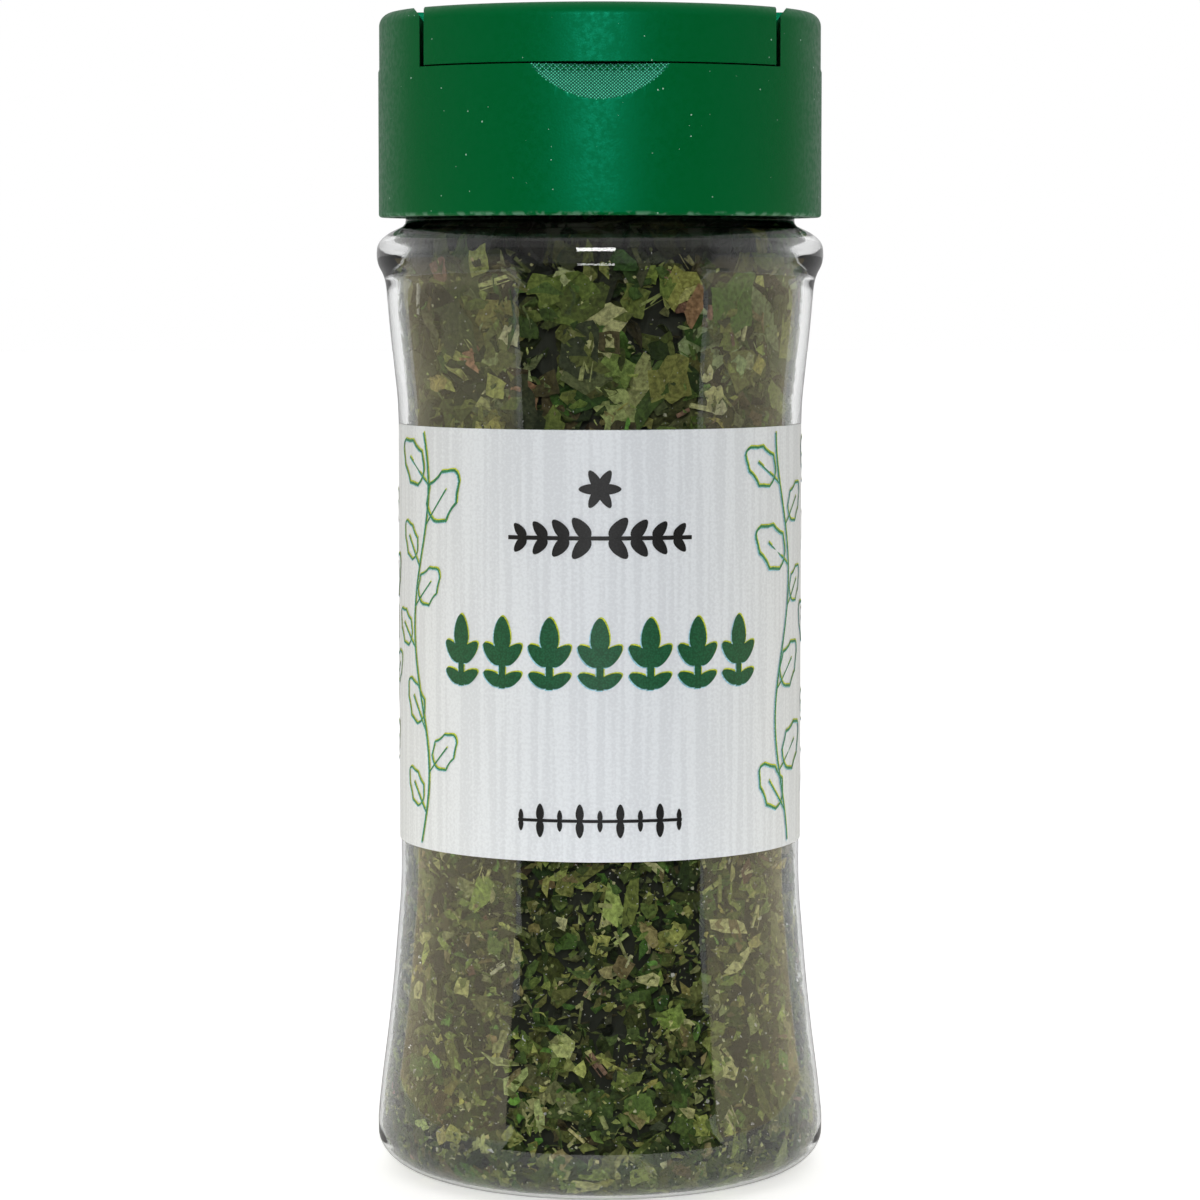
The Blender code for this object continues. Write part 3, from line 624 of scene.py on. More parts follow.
def coloured_copy(source, place, colours, depth, ceiling):
    """A copy of a scrap with its own mesh, pressed into its place, in one of the colours, darkened as painted
    shade near the neck and the deeper it lies.
    """
    mesh = source.data.copy()
    mesh.transform(place)
    press(mesh, depth, ceiling)
    # Painted shade: scraps in the neck are darkened as if in the cap's shadow, and deeper scraps are darker
    # than those at the wall.
    in_neck = clamped((place.translation.z - NECK_SHADE_LOW) / (NECK_SHADE_HIGH - NECK_SHADE_LOW))
    level = (1.0 - NECK_SHADE * in_neck) * LEAF_LIGHT * 2.0 ** draw.uniform(*LEAF_STOPS)
    level *= 1.15 - DEEP_SHADE * min(depth / DEEP, 1.0)
    colour = [min(channel * level * draw.uniform(0.93, 1.07), PALEST) for channel in pick(colours)]
    tint = mesh.color_attributes.new("leaf_colour", "FLOAT_COLOR", "POINT")
    tint.data.foreach_set("color", (*colour, 1.0) * len(mesh.vertices))
    return shown("loose_" + source.name, mesh)


def covered(piece, material):
    """Give a piece one material in place of those that its parts had."""
    piece.data.materials.clear()
    piece.data.materials.append(material)


def joined(name, copies):
    """Join the copies into one piece."""
    bpy.ops.object.select_all(action="DESELECT")
    for piece in copies:
        piece.select_set(True)
    bpy.context.view_layer.objects.active = copies[0]
    bpy.ops.object.join()
    return new_piece(name)


def gathered(copies, more, limit=80):
    """Add a copy, and join the last ones into a bunch when it is full, which keeps the script quick."""
    copies.append(more)
    if len(copies) >= limit and all(piece.name.startswith("loose") for piece in copies[-limit:]):
        copies[-limit:] = [joined("bunch", copies[-limit:])]


def side_scraps(sources, count, band, size, depth, tilt, colours):
    """Scatter copies over the fill's side, in a band of heights and of depths below the wall."""
    copies = []
    for i in range(count):
        height = draw.uniform(*band)
        under = draw.uniform(*depth)
        place = facing_out(draw.uniform(0, math.tau), height, wall_at(height) - under)
        place = place @ tilted(tilt) @ Matrix.Scale(draw.uniform(*size), 4)
        gathered(copies, coloured_copy(draw.choice(sources), place, colours, under * 0.5,
                                       HERB_SURFACE + 0.001))
    return copies


def side_straws(sources, count, band, length, depth, tilt, colours):
    """Scatter bits of stem over the fill's side, pressed flat, in any direction."""
    copies = []
    for i in range(count):
        height = draw.uniform(*band)
        thick = draw.uniform(0.0014, 0.0030)
        place = facing_out(draw.uniform(0, math.tau), height, wall_at(height) - depth[1], tilt)
        place = place @ Matrix.Rotation(draw.uniform(0, math.tau), 4, "Z")
        place = place @ Matrix.Diagonal((thick, draw.uniform(*length), thick, 1.0))
        gathered(copies, coloured_copy(draw.choice(sources), place, colours, draw.uniform(*depth),
                                       HERB_SURFACE))
    return copies


def grains(tree, place, scale, detail):
    """A soft random pattern."""
    node = tree.nodes.new("ShaderNodeTexNoise")
    node.inputs["Scale"].default_value = scale
    node.inputs["Detail"].default_value = detail
    link(tree, place, node.inputs["Vector"])
    return node.outputs["Fac"]


def vector_node(tree, operation, vector, values):
    """A Vector Math node whose second vector is fixed."""
    node = tree.nodes.new("ShaderNodeVectorMath")
    node.operation = operation
    link(tree, vector, node.inputs[0])
    node.inputs[1].default_value = values
    return node.outputs


def scaled(tree, colour, level):
    """A colour, fixed or from a node, made lighter or darker."""
    node = tree.nodes.new("ShaderNodeVectorMath")
    node.operation = "SCALE"
    if isinstance(colour, tuple):
        node.inputs[0].default_value = colour
    else:
        link(tree, colour, node.inputs[0])
    link(tree, level, node.inputs["Scale"])
    return node.outputs[0]


def roughened(tree, shader, height, strength, distance):
    """Let the light show a fine relief."""
    bump = tree.nodes.new("ShaderNodeBump")
    bump.inputs["Strength"].default_value = strength
    bump.inputs["Distance"].default_value = distance
    link(tree, height, bump.inputs["Height"])
    link(tree, bump.outputs[0], shader.inputs["Normal"])


def dried_leaf():
    """Matt dry leaf: the scrap's own colour, mottled, with a lighter rib and a grainy surface."""
    material, tree, shader = principled("dried_leaf", (0.06, 0.08, 0.02), 0.6)
    shader.inputs["Specular IOR Level"].default_value = 0.12
    own = tree.nodes.new("ShaderNodeAttribute")
    own.attribute_name = "leaf_colour"
    mottle = grains(tree, object_place(tree), MOTTLE_SCALE, 4.0)
    on_leaf = tree.nodes.new("ShaderNodeUVMap").outputs[0]
    across = split(tree, on_leaf)
    off_rib = math_node(tree, "ABSOLUTE", math_node(tree, "SUBTRACT", across["X"], 0.5))
    rib = ramp(tree, off_rib, 0.008, 0.03, 1.0, 0.0)
    climb = math_node(tree, "SUBTRACT", math_node(tree, "MULTIPLY", across["Y"], VEINS),
                      math_node(tree, "MULTIPLY", off_rib, VEINS))
    vein = ramp(tree, math_node(tree, "PINGPONG", climb, 0.5), 0.02, 0.09, 1.0, 0.0)
    from_middle = vector_node(tree, "DISTANCE", on_leaf, (0.5, 0.5, 0.0))["Value"]
    torn_edge = ramp(tree, from_middle, 0.40, 0.50, 0.0, 0.5)
    lines = math_node(tree, "MAXIMUM", rib, math_node(tree, "MULTIPLY", vein, 0.5))
    lines = math_node(tree, "MAXIMUM", lines, torn_edge)
    lighter = math_node(tree, "ADD", math_node(tree, "MULTIPLY", lines, 0.35), 1.0)
    level = math_node(tree, "MULTIPLY", ramp(tree, mottle, 0.30, 0.70, 0.62, 1.42), lighter)
    link(tree, scaled(tree, own.outputs["Color"], level), shader.inputs["Base Color"])
    relief = math_node(tree, "ADD", mottle, math_node(tree, "MULTIPLY", lines, 0.4))
    roughened(tree, shader, relief, 0.55, 0.00012)
    return material


leaf = dried_leaf()
# The core's near-black colour is painted shade: the depths of the fill seen between the scraps.
core_line = [(0.0, HERB_SURFACE - 0.0012), (0.011, HERB_SURFACE - 0.0016), (0.0158, HERB_SURFACE - 0.003)]
core_line += [(jar_inside(h) - CORE_DEPTH, h) for h in reversed(levels(0.0060, 0.0925, 0.0035))]
core_line += [(jar_inside(0.0032) - 0.0009, 0.0038), (jar_inside(0.0018) - 0.0008, 0.0023),
              (RING_OUTER, 0.0016), (RING_INNER, 0.0018), (RING_INNER - 0.0026, 0.0030), (0.0, 0.0030)]
herb_shade_core = turned("herb_shade_core", core_line, 96)
for vertex in herb_shade_core.data.vertices:
    x, y, z = vertex.co
    if math.hypot(x, y) > 0.001:
        swell = 1.0 - 0.02 * (1.0 + math.sin(900 * x + 400 * z) * math.sin(800 * y - 700 * z))
        vertex.co = (x * swell, y * swell, z)
herb_shade_core.data.materials.append(principled("herb_shade", (0.010, 0.012, 0.005), 0.9)[0])

crisp = LEAF_COLOURS + (((0.118, 0.138, 0.058), 14), ((0.020, 0.026, 0.010), 16))
upper_leaves, upper_bits, lower_leaves, lower_bits, behind, dust = [], [], [], [], [], []
# Each row: how many, the band of heights, the sizes, the depths below the wall, tilt and colours.
for group, sources, count, low, high, smallest, largest, near, deep, tilt, colours in (
    (upper_leaves, large_scraps, 230, 0.0740, 0.0945, 0.0018, 0.0041, 0.0001, 0.0016, 0.32, crisp),
    (upper_leaves, large_scraps, 30, 0.0745, 0.0920, 0.0010, 0.0024, 0.0, 0.0005, 0.25, BRIGHT_COLOURS),
    (upper_bits, medium_scraps, 800, 0.0740, 0.0960, 0.0008, 0.0020, 0.0001, 0.0013, 0.5, crisp),
    (upper_bits, small_scraps, 800, 0.0740, 0.0965, 0.0004, 0.0011, 0.0, 0.0010, 0.6, LEAF_COLOURS),
    (upper_bits, straws, 60, 0.0750, 0.0930, 0.0025, 0.0070, 0.0, STRAW_DEPTH, 0.0, STEM_COLOURS),
    (lower_leaves, medium_scraps, 1200, 0.0025, 0.0340, 0.0006, 0.0017, 0.0001, 0.0014, 0.45, LEAF_COLOURS),
    (lower_leaves, large_scraps, 70, 0.0035, 0.0160, 0.0014, 0.0024, 0.0002, 0.0010, 0.35, LEAF_COLOURS),
    (lower_leaves, medium_scraps, 26, 0.0030, 0.0330, 0.0006, 0.0013, 0.0, 0.0003, 0.3, BRIGHT_COLOURS),
    (lower_bits, small_scraps, 4200, 0.0025, 0.0340, 0.0003, 0.0009, 0.0, 0.0010, 0.6, LEAF_COLOURS),
    (lower_bits, straws, 90, 0.0040, 0.0330, 0.0025, 0.0065, 0.0, STRAW_DEPTH, 0.0, STEM_COLOURS),
    (behind, large_scraps, 260, 0.0335, 0.0745, 0.0022, 0.0034, 0.0002, 0.0012, 0.3, LEAF_COLOURS),
    (dust, crumbs, 3000, 0.0020, 0.0335, 0.00012, 0.00032, 0.0, 0.0003, 0.8, CRUMB_COLOURS),
    (dust, crumbs, 700, 0.0740, 0.0945, 0.00012, 0.00030, 0.0, 0.0003, 0.8, CRUMB_COLOURS),
    (dust, crumbs, 2600, 0.0020, 0.0335, 0.00005, 0.00012, 0.0, 0.00001, 0.8, DUST_COLOURS),
    (dust, crumbs, 500, 0.0740, 0.0925, 0.00005, 0.00011, 0.0, 0.00001, 0.8, DUST_COLOURS),
):
    scatter = side_straws if sources is straws else side_scraps
    group += scatter(sources, count, (low, high), (smallest, largest), (near, deep), tilt, colours)
# Painted shade: the heel's scraps take the leaf colours darkened, for the shade down in the heel.
shaded_leaf = [([HEEL_SHADE * channel for channel in colour], weight) for colour, weight in LEAF_COLOURS]
heel = []
for i in range(1300):
    turn = draw.uniform(0.0, math.radians(89))
    reach = jar_inside(INNER_HEEL) - RING_OUTER
    under = draw.uniform(0.00005, 0.0006)
    radius = RING_OUTER + (reach - under) * math.cos(turn)
    height = INNER_HEEL - (INNER_HEEL - INNER_FLOOR - under) * math.sin(turn)
    place = facing_out(draw.uniform(0, math.tau), height, radius, turn) @ tilted(0.35)
    place = place @ Matrix.Scale(draw.uniform(0.0006, 0.0015), 4)
    gathered(heel, coloured_copy(draw.choice(medium_scraps + small_scraps), place, shaded_leaf, under * 0.5,
                                 0.02))


def flat_scraps(sources, count, reach, height, rise, tilt, size, ceiling):
    """Scatter copies over the fill's top or the jar's floor, whose height is given by radius."""
    copies = []
    for i in range(count):
        out, angle = reach * math.sqrt(draw.random()), draw.uniform(0, math.tau)
        place = Matrix.Translation(round_axis(out, angle, height(out) + draw.uniform(*rise)))
        place = place @ tilted(tilt) @ Matrix.Scale(draw.uniform(*size), 4)
        gathered(copies, coloured_copy(draw.choice(sources), place, LEAF_COLOURS, 0.0, ceiling))
    return copies


flat = flat_scraps(large_scraps, 300, 0.0178, lambda out: HERB_SURFACE, (-0.0016, 0.0004), 0.35,
                   (0.0010, 0.0028), 0.1000)
flat += flat_scraps(medium_scraps, 500, 0.0172, jar_floor, (0.0001, 0.0004), 0.12, (0.0007, 0.0018), 0.02)

fill = [joined("herb_upper_leaves", upper_leaves), joined("herb_upper_bits", upper_bits),
        joined("herb_lower_leaves", lower_leaves), joined("herb_lower_bits", lower_bits),
        joined("herb_behind_label", behind), joined("herb_dust", dust), joined("herb_heel", heel),
        joined("herb_top_and_floor", flat)]
for piece in fill:
    covered(piece, leaf)
fill.append(herb_shade_core)
for piece in fill:
    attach(piece, "jar_body")
    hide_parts("parsley_flakes")
for source in large_scraps + medium_scraps + small_scraps + crumbs + straws:
    bpy.data.objects.remove(source)

# The label. Printed film wrapped once round the waist and glued, its ends lapped at the back. It
# has a faint upright streak, and its print is ink in flat colours a little out of register: a lime
# and a cyan edge show beside each green shape; the black shapes have none.
LABEL_LOW = 0.03342
LABEL_HIGH = 0.07493
LABEL_RADIUS = 0.02014
LABEL_THICKNESS = 0.00003
LABEL_LAP = 0.003
LABEL_WHITE = (0.83, 0.87, 0.915)
LABEL_SHADE = (0.73, 0.765, 0.81)
DARK_GREEN = (0.012, 0.105, 0.042)
LINE_GREEN = (0.035, 0.250, 0.110)
LIME = (0.600, 0.680, 0.030)
CYAN = (0.330, 0.640, 0.760)
INK_BLACK = (0.012, 0.012, 0.013)
INK_STEP = 0.000009
LIME_SHIFT = (0.00010, 0.00012)
CYAN_SHIFT = (-0.00010, -0.00009)
FRINGES = ((LIME, LIME_SHIFT), (CYAN, CYAN_SHIFT))
PRINT_SHINE = 0.35
PRINT_LEVEL = 3
STREAK_STRETCH = (1.25, 0.035, 1.0)
FLECK_SCALE = 3.4
SCREEN_SCALE = 5200.0
GARLAND_HEIGHT = 0.0534
GARLAND_PITCH = 0.00490
GARLAND_REACH = 0.0190
GARLAND_CLEAR = 0.0066
REAR_GARLAND_START = 0.0475
REAR_GARLAND_SHIFT = 0.0062
FLOWER_HEIGHT = 0.0693
CREST_HEIGHT = 0.0646
FOOTER_HEIGHT = 0.0374
STALK = 0.0012
RIB = 0.0034


def wrapped(piece, proud):
    """Wrap a flat piece, drawn in X (round the jar from the front) and Y (height), on the label."""
    for vertex in piece.data.vertices:
        turn = -math.pi / 2 + vertex.co.x / LABEL_RADIUS
        vertex.co = round_axis(LABEL_RADIUS + proud, turn, vertex.co.y)


label_length = math.tau * LABEL_RADIUS + LABEL_LAP
label_height = LABEL_HIGH - LABEL_LOW
label = started("label_film", bpy.ops.mesh.primitive_grid_add, x_subdivisions=256, y_subdivisions=12,
                size=1.0)
for vertex in label.data.vertices:
    x, y = vertex.co.x * label_length, (vertex.co.y + 0.5) * label_height + LABEL_LOW
    lift = clamped((x - label_length / 2 + 1.6 * LABEL_LAP) / (0.6 * LABEL_LAP))
    turn = -math.pi / 2 + x / LABEL_RADIUS
    vertex.co = round_axis(LABEL_RADIUS - LABEL_THICKNESS * (1.1 - 1.1 * lift), turn, y)
modified(label, "SOLIDIFY", thickness=LABEL_THICKNESS, offset=-1.0)
bpy.ops.object.shade_smooth_by_angle(angle=math.radians(40))


def between(tree, factor, first, second):
    """A colour between two."""
    node = tree.nodes.new("ShaderNodeMix")
    node.data_type = "RGBA"
    link(tree, factor, node.inputs["Factor"])
    node.inputs["A"].default_value = (*first, 1.0)
    node.inputs["B"].default_value = (*second, 1.0)
    return node.outputs["Result"]


label_paper, paper_tree, paper_shader = principled("label_paper", LABEL_WHITE, 0.5)
paper_shader.inputs["Specular IOR Level"].default_value = PRINT_SHINE
on_label = vector_node(paper_tree, "MULTIPLY", paper_tree.nodes.new("ShaderNodeUVMap").outputs[0],
                       (label_length * 1000, label_height * 1000, 1.0))[0]
streak = grains(paper_tree, vector_node(paper_tree, "MULTIPLY", on_label, STREAK_STRETCH)[0], 1.0, 1.5)
fleck = grains(paper_tree, on_label, FLECK_SCALE, 2.0)
tone = math_node(paper_tree, "ADD", ramp(paper_tree, streak, 0.40, 0.60, 0.0, 0.75),
                 ramp(paper_tree, fleck, 0.35, 0.68, -0.30, 0.55))
link(paper_tree, between(paper_tree, tone, LABEL_SHADE, LABEL_WHITE), paper_shader.inputs["Base Color"])
label.data.materials.append(label_paper)
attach(label, "jar_body")
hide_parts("label")


def leaf_shape(name, length, width, teeth, line):
    """A flat leaf along Y from its stalk end. With a line width it is drawn as an outline."""
    piece = started(name, bpy.ops.mesh.primitive_circle_add, vertices=24, radius=1.0, fill_type="NGON")
    for i, vertex in enumerate(piece.data.vertices):
        turn = math.tau * i / 24
        along_leaf = (1 - math.cos(turn)) / 2
        half = math.sin(turn) * (1.25 - 0.5 * along_leaf)
        tooth = 1.0 + (teeth if i % 3 == 1 else 0.0)
        vertex.co = (half * width / 2 * tooth, along_leaf * length, 0.0)
    edit_all()
    if line:
        bpy.ops.mesh.inset(thickness=line, depth=0.0)
        bpy.ops.mesh.delete(type="FACE")
    else:
        bpy.ops.mesh.poke()
        bpy.ops.mesh.subdivide(number_cuts=1)
    edit_done()
    return piece


def stroke(name, points, width):
    """A flat line of even width through points, drawn as one strip."""
    piece = started(name, bpy.ops.mesh.primitive_grid_add, x_subdivisions=1, y_subdivisions=len(points) - 1,
                    size=1.0)
    order = sorted(piece.data.vertices, key=lambda vertex: (round(vertex.co.y, 4), vertex.co.x))
    for i, point in enumerate(points):
        before, after = points[max(i - 1, 0)], points[min(i + 1, len(points) - 1)]
        ahead = Vector((after[0] - before[0], after[1] - before[1])).normalized()
        side = Vector((-ahead.y, ahead.x)) * width / 2
        order[2 * i].co = (point[0] + side.x, point[1] + side.y, 0.0)
        order[2 * i + 1].co = (point[0] - side.x, point[1] - side.y, 0.0)
    return piece


def placed(source, x, y, turn, size=1.0):
    """A copy of a flat shape with its own mesh, turned and moved in the label's plane."""
    mesh = source.data.copy()
    mesh.transform(Matrix.Translation((x, y, 0)) @ Matrix.Rotation(math.radians(turn), 4, "Z")
                   @ Matrix.Scale(size, 4))
    return shown(source.name, mesh)


def cell_pattern(tree, place, scale):
    """Irregular cells, each with a random colour and its distance from the cell's middle."""
    node = tree.nodes.new("ShaderNodeTexVoronoi")
    node.inputs["Scale"].default_value = scale
    link(tree, place, node.inputs["Vector"])
    return node.outputs


inks = {}


def ink(colour):
    """Flat printing ink with the faint dots of its screen."""
    if colour not in inks:
        material, tree, shader = principled("ink", colour, 0.45)
        shader.inputs["Specular IOR Level"].default_value = PRINT_SHINE
        dots = cell_pattern(tree, object_place(tree), SCREEN_SCALE)["Distance"]
        link(tree, scaled(tree, colour, ramp(tree, dots, 0.2, 0.7, 1.25, 0.75)), shader.inputs["Base Color"])
        inks[colour] = material
    return inks[colour]


def printed(name, shapes, colour, fringes):
    """Join the shapes, print them with their fringes and wrap each layer on the label."""
    drawing = joined(name, shapes)
    layers = [(drawing, colour, PRINT_LEVEL)]
    for i, (tint, shift) in enumerate(fringes):
        edge = shown(name + "_fringe", drawing.data.copy())
        edge.data.transform(Matrix.Translation((*shift, 0.0)))
        layers.append((edge, tint, i + 1))
    for layer, tint, level in layers:
        wrapped(layer, level * INK_STEP)
        covered(layer, ink(tint))
        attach(layer, "jar_body")


bold_leaf = leaf_shape("bold_leaf", 0.0036, 0.0019, 0.0, 0.0)
small_leaf = leaf_shape("small_leaf", 0.0021, 0.0010, 0.0, 0.0)
line_leaf = leaf_shape("line_leaf", 0.0056, 0.0035, 0.16, 0.00022)


def sprig(x, y):
    """A bold upright sprig: one leaf at the top and two pairs below, on a short stem."""
    shapes = [placed(bold_leaf, x, y + 0.0001, 0, 0.96),
              stroke("stem", [(x, y - 0.0034), (x, y + 0.0016)], 0.0007)]
    for side in (-1, 1):
        shapes.append(placed(bold_leaf, x, y - 0.0010, side * 48, 0.78))
        shapes.append(placed(bold_leaf, x, y - 0.0030, side * 62, 0.66))
    return shapes


def garland(middle, count):
    """A row of upright sprigs."""
    shapes = []
    for i in range(count):
        shapes += sprig(middle + (i - (count - 1) // 2) * GARLAND_PITCH, GARLAND_HEIGHT)
    return shapes


printed("garland", garland(0.0, 7), DARK_GREEN, FRINGES)
printed("rear_garland", garland(math.pi * LABEL_RADIUS - REAR_GARLAND_SHIFT, 3), DARK_GREEN, FRINGES)

crest = [placed(small_leaf, 0.0, FLOWER_HEIGHT, 30 + 60 * k, 0.98) for k in range(6)]
for side in (-1, 1):
    for i in range(4):
        crest += [placed(bold_leaf, side * (0.0010 + 0.0021 * i), CREST_HEIGHT, side * -turn, 0.70 - 0.07 * i)
                  for turn in (40, 140)]
    crest.append(stroke("stem", [(side * 0.0013 * k, CREST_HEIGHT) for k in range(8)], 0.00040))
printed("crest", crest, INK_BLACK, ())
footer = [stroke("rule", [(-0.0081 + 0.0009 * i, FOOTER_HEIGHT) for i in range(19)], 0.00030)]
for i in range(9):
    footer += [placed(small_leaf, (i - 4) * 0.00195, FOOTER_HEIGHT, turn, 0.78 if i % 2 else 0.5)
               for turn in (0, 180)]
printed("footer", footer, INK_BLACK, ())

VINE_STEPS = 40
VINE_WAVES = 9.0
vine_draw = random.Random(4)


def vine(x, low, high, sway, lean):
    """A climbing stem with toothed outline leaves on short stalks, on alternate sides."""
    path = [(x + sway * math.sin(lean + VINE_WAVES * i / VINE_STEPS), low + (high - low) * i / VINE_STEPS)
            for i in range(VINE_STEPS + 1)]
    shapes = [stroke("stem", path, 0.00026)]
    for i in range(3, VINE_STEPS, 4):
        side = 1 if (i // 4) % 2 else -1
        px, py = path[i]
        angle = side * -vine_draw.uniform(38, 62)
        size = vine_draw.uniform(0.75, 1.15)
        out = Vector((-math.sin(math.radians(angle)), math.cos(math.radians(angle))))
        foot = Vector((px, py)) + out * STALK
        tip = foot + out * RIB * size
        beside = abs(tip.x) < GARLAND_REACH or tip.x > REAR_GARLAND_START
        by_garland = beside and abs(tip.y - GARLAND_HEIGHT) < GARLAND_CLEAR
        if LABEL_LOW + 0.0004 < min(py, tip.y) and tip.y + 0.0016 < LABEL_HIGH and not by_garland:
            shapes.append(placed(line_leaf, foot.x, foot.y, angle, size))
            shapes.append(stroke("rib", [(px, py), tuple(foot), tuple(tip)], 0.00018))
    return shapes


# Place round the jar, sway and phase of each stem.
for x, sway, lean in ((-0.0212, 0.0015, 0.0), (0.0220, 0.0015, 2.0), (-0.0330, 0.0016, 4.0),
                      (0.0345, 0.0016, 1.0), (-0.0455, 0.0015, 3.0), (0.0470, 0.0015, 5.0)):
    printed("vine", vine(x, LABEL_LOW + 0.0006, LABEL_HIGH - 0.0006, sway, lean), LINE_GREEN, FRINGES)
for source in (bold_leaf, small_leaf, line_leaf):
    bpy.data.objects.remove(source)

# The cap's body. One moulding in satin green polypropylene: a plain skirt, a deck with seven sifter
# holes and a spoon opening, two side wings, and the bar between the flaps. It has a thumb grip with
# a fine diamond pattern under the edge of each flap.
CAP_STEPS = 192
CAP_TOP = 0.1154
SKIRT_RADIUS = 0.0220
SKIRT_INNER = 0.0207
SKIRT_BOTTOM = 0.0953
CROWN_RADIUS = 0.0219
CROWN_ROUND = 0.0013
DECK_TOP = 0.1096
DECK_BOTTOM = 0.1080
SPLIT = 0.1099
WELL_HALF = 0.01735
WELL_SLOPE = 0.0009
WELL_FLARE = 0.75
WELL_REACH = 0.026
BAR_HALF = 0.0032
MOULDED_WALL = 0.0012
GRIP_RADIUS = 0.0380
GRIP_REACH = 0.0556
GRIP_RISE = 0.1240
GRIP_PITCH = 0.00034
GRIP_RELIEF = 0.00007
HOLE_RADIUS = 0.0023
HOLE_ROWS = ((-0.0080, (-0.0105, -0.0035, 0.0035, 0.0105)), (-0.0143, (-0.0070, 0.0, 0.0070)))
GREEN = (0.0001, 0.120, 0.0230)
GREEN_SHINE = (0.03, 1.0, 0.66, 1.0)
GRIP_SHEEN_GREEN = (0.070, 0.430, 0.265)
GRIP_CELLS = 64
GRIP_LIFT = (0.006, 0.0025)
GRIP_NEAREST = 0.0195
GRIP_AIM_REACH = 0.0212
GRIP_AIM_HEIGHT = 0.1080
SPOON_HALF = 0.0125
SPOON_NEAR = 0.0060
SPOON_RADIUS = 0.0178
ROOM_LOW = 0.107
SKIRT_RIM = 0.0003
CAP_EASE = 0.00006
SATIN = 0.41
SATIN_SPREAD = 0.06
GRAIN_SCALE = 4200.0
WORN_SCALE = 1900.0
SPECK_SCALE = 900.0
SPECK_SHARE = 0.30
SPECK_SIZE = 0.088
DUST_AND_RIM_HIGHLIGHT = (0.34, 0.56, 0.44)


def satin_green():
    """Satin green plastic with a fine moulded grain, a few specks of herb dust and a painted highlight in
    patches along the rounded lower rim.
    """
    material, tree, shader = principled("satin_green", GREEN, SATIN)
    shader.inputs["Specular Tint"].default_value = GREEN_SHINE
    shader.inputs["IOR"].default_value = 1.45
    place = object_place(tree)
    worn = grains(tree, place, WORN_SCALE, 3.0)
    link(tree, ramp(tree, worn, 0.36, 0.64, SATIN - SATIN_SPREAD, SATIN + SATIN_SPREAD),
         shader.inputs["Roughness"])
    roughened(tree, shader, grains(tree, place, GRAIN_SCALE, 2.0), 0.22, 0.00004)
    cells = cell_pattern(tree, place, SPECK_SCALE)
    rare = tree.nodes.new("ShaderNodeSeparateColor")
    link(tree, cells["Color"], rare.inputs[0])
    chosen = math_node(tree, "GREATER_THAN", rare.outputs[0], SPECK_SHARE)
    near = math_node(tree, "LESS_THAN", cells["Distance"],
                     math_node(tree, "MULTIPLY", rare.outputs[1], SPECK_SIZE))
    # Painted highlight: a pale line in patches along the skirt's rounded lower rim, in the same pale tint as
    # the dust specks.
    rim_highlight = ramp(tree, split(tree, place)["Z"], SKIRT_BOTTOM + 0.0001, SKIRT_BOTTOM + 0.0005, 0.36, 0.0)
    patches = ramp(tree, grains(tree, place, SPECK_SCALE, 3.0), 0.46, 0.60, 0.0, 1.0)
    dust_and_rim_highlight = math_node(tree, "MAXIMUM", math_node(tree, "MULTIPLY", chosen, near),
                        math_node(tree, "MULTIPLY", rim_highlight, patches))
    link(tree, between(tree, dust_and_rim_highlight, GREEN, DUST_AND_RIM_HIGHLIGHT), shader.inputs["Base Color"])
    return material


def grip_green():
    """The same plastic in the thumb grips, painted paler for the sheen of its frosted surface, with painted
    highlights on the diamond ridges and painted shade between them.
    """
    material, tree, shader = principled("grip_green", GRIP_SHEEN_GREEN, 0.55)
    shader.inputs["Specular Tint"].default_value = GREEN_SHINE
    place = split(tree, object_place(tree))
    rise = math_node(tree, "MULTIPLY", place["Z"], 1.1)
    waves = []
    for operation in ("ADD", "SUBTRACT"):
        hatch = math_node(tree, "MULTIPLY", math_node(tree, operation, place["X"], rise), 1 / GRIP_PITCH)
        waves.append(math_node(tree, "PINGPONG", hatch, 0.5))
    # Painted highlight and shade: the ridges of the diamond pattern are painted light, the grooves dark.
    ridge_glint = ramp(tree, math_node(tree, "MULTIPLY", waves[0], waves[1]), 0.01, 0.20, 0.0, 1.0)
    link(tree, between(tree, ridge_glint, [0.18 * channel for channel in GRIP_SHEEN_GREEN],
                       [2.1 * channel for channel in GRIP_SHEEN_GREEN]), shader.inputs["Base Color"])
    return material


def box(name, corner, opposite):
    """A box between two opposite corners."""
    piece = started(name, bpy.ops.mesh.primitive_cube_add, size=1.0)
    low = [min(pair) for pair in zip(corner, opposite)]
    high = [max(pair) for pair in zip(corner, opposite)]
    for vertex in piece.data.vertices:
        vertex.co = [a + (b - a) * (c + 0.5) for a, b, c in zip(low, high, vertex.co)]
    return piece


def chosen_only(piece):
    """Make a piece the active and only selected one."""
    bpy.ops.object.select_all(action="DESELECT")
    piece.select_set(True)
    bpy.context.view_layer.objects.active = piece


def sliced(piece, *planes):
    """Cut a closed piece by upright planes, keep what is behind each and close the cut.

    A plane is given by the X and Y of its outward direction and its distance from the jar's axis.
    """
    chosen_only(piece)
    edit_all()
    for x, y, reach in planes:
        bpy.ops.mesh.select_all(action="SELECT")
        bpy.ops.mesh.bisect(plane_co=(x * reach, y * reach, 0), plane_no=(x, y, 0), use_fill=True,
                            clear_outer=True)
    edit_done()
    return piece


def cut(piece, cutter):
    """Subtract one closed piece from another and throw the cutter away."""
    chosen_only(piece)
    modified(piece, "BOOLEAN", operation="DIFFERENCE", solver="EXACT", object=cutter)
    bpy.data.objects.remove(cutter)


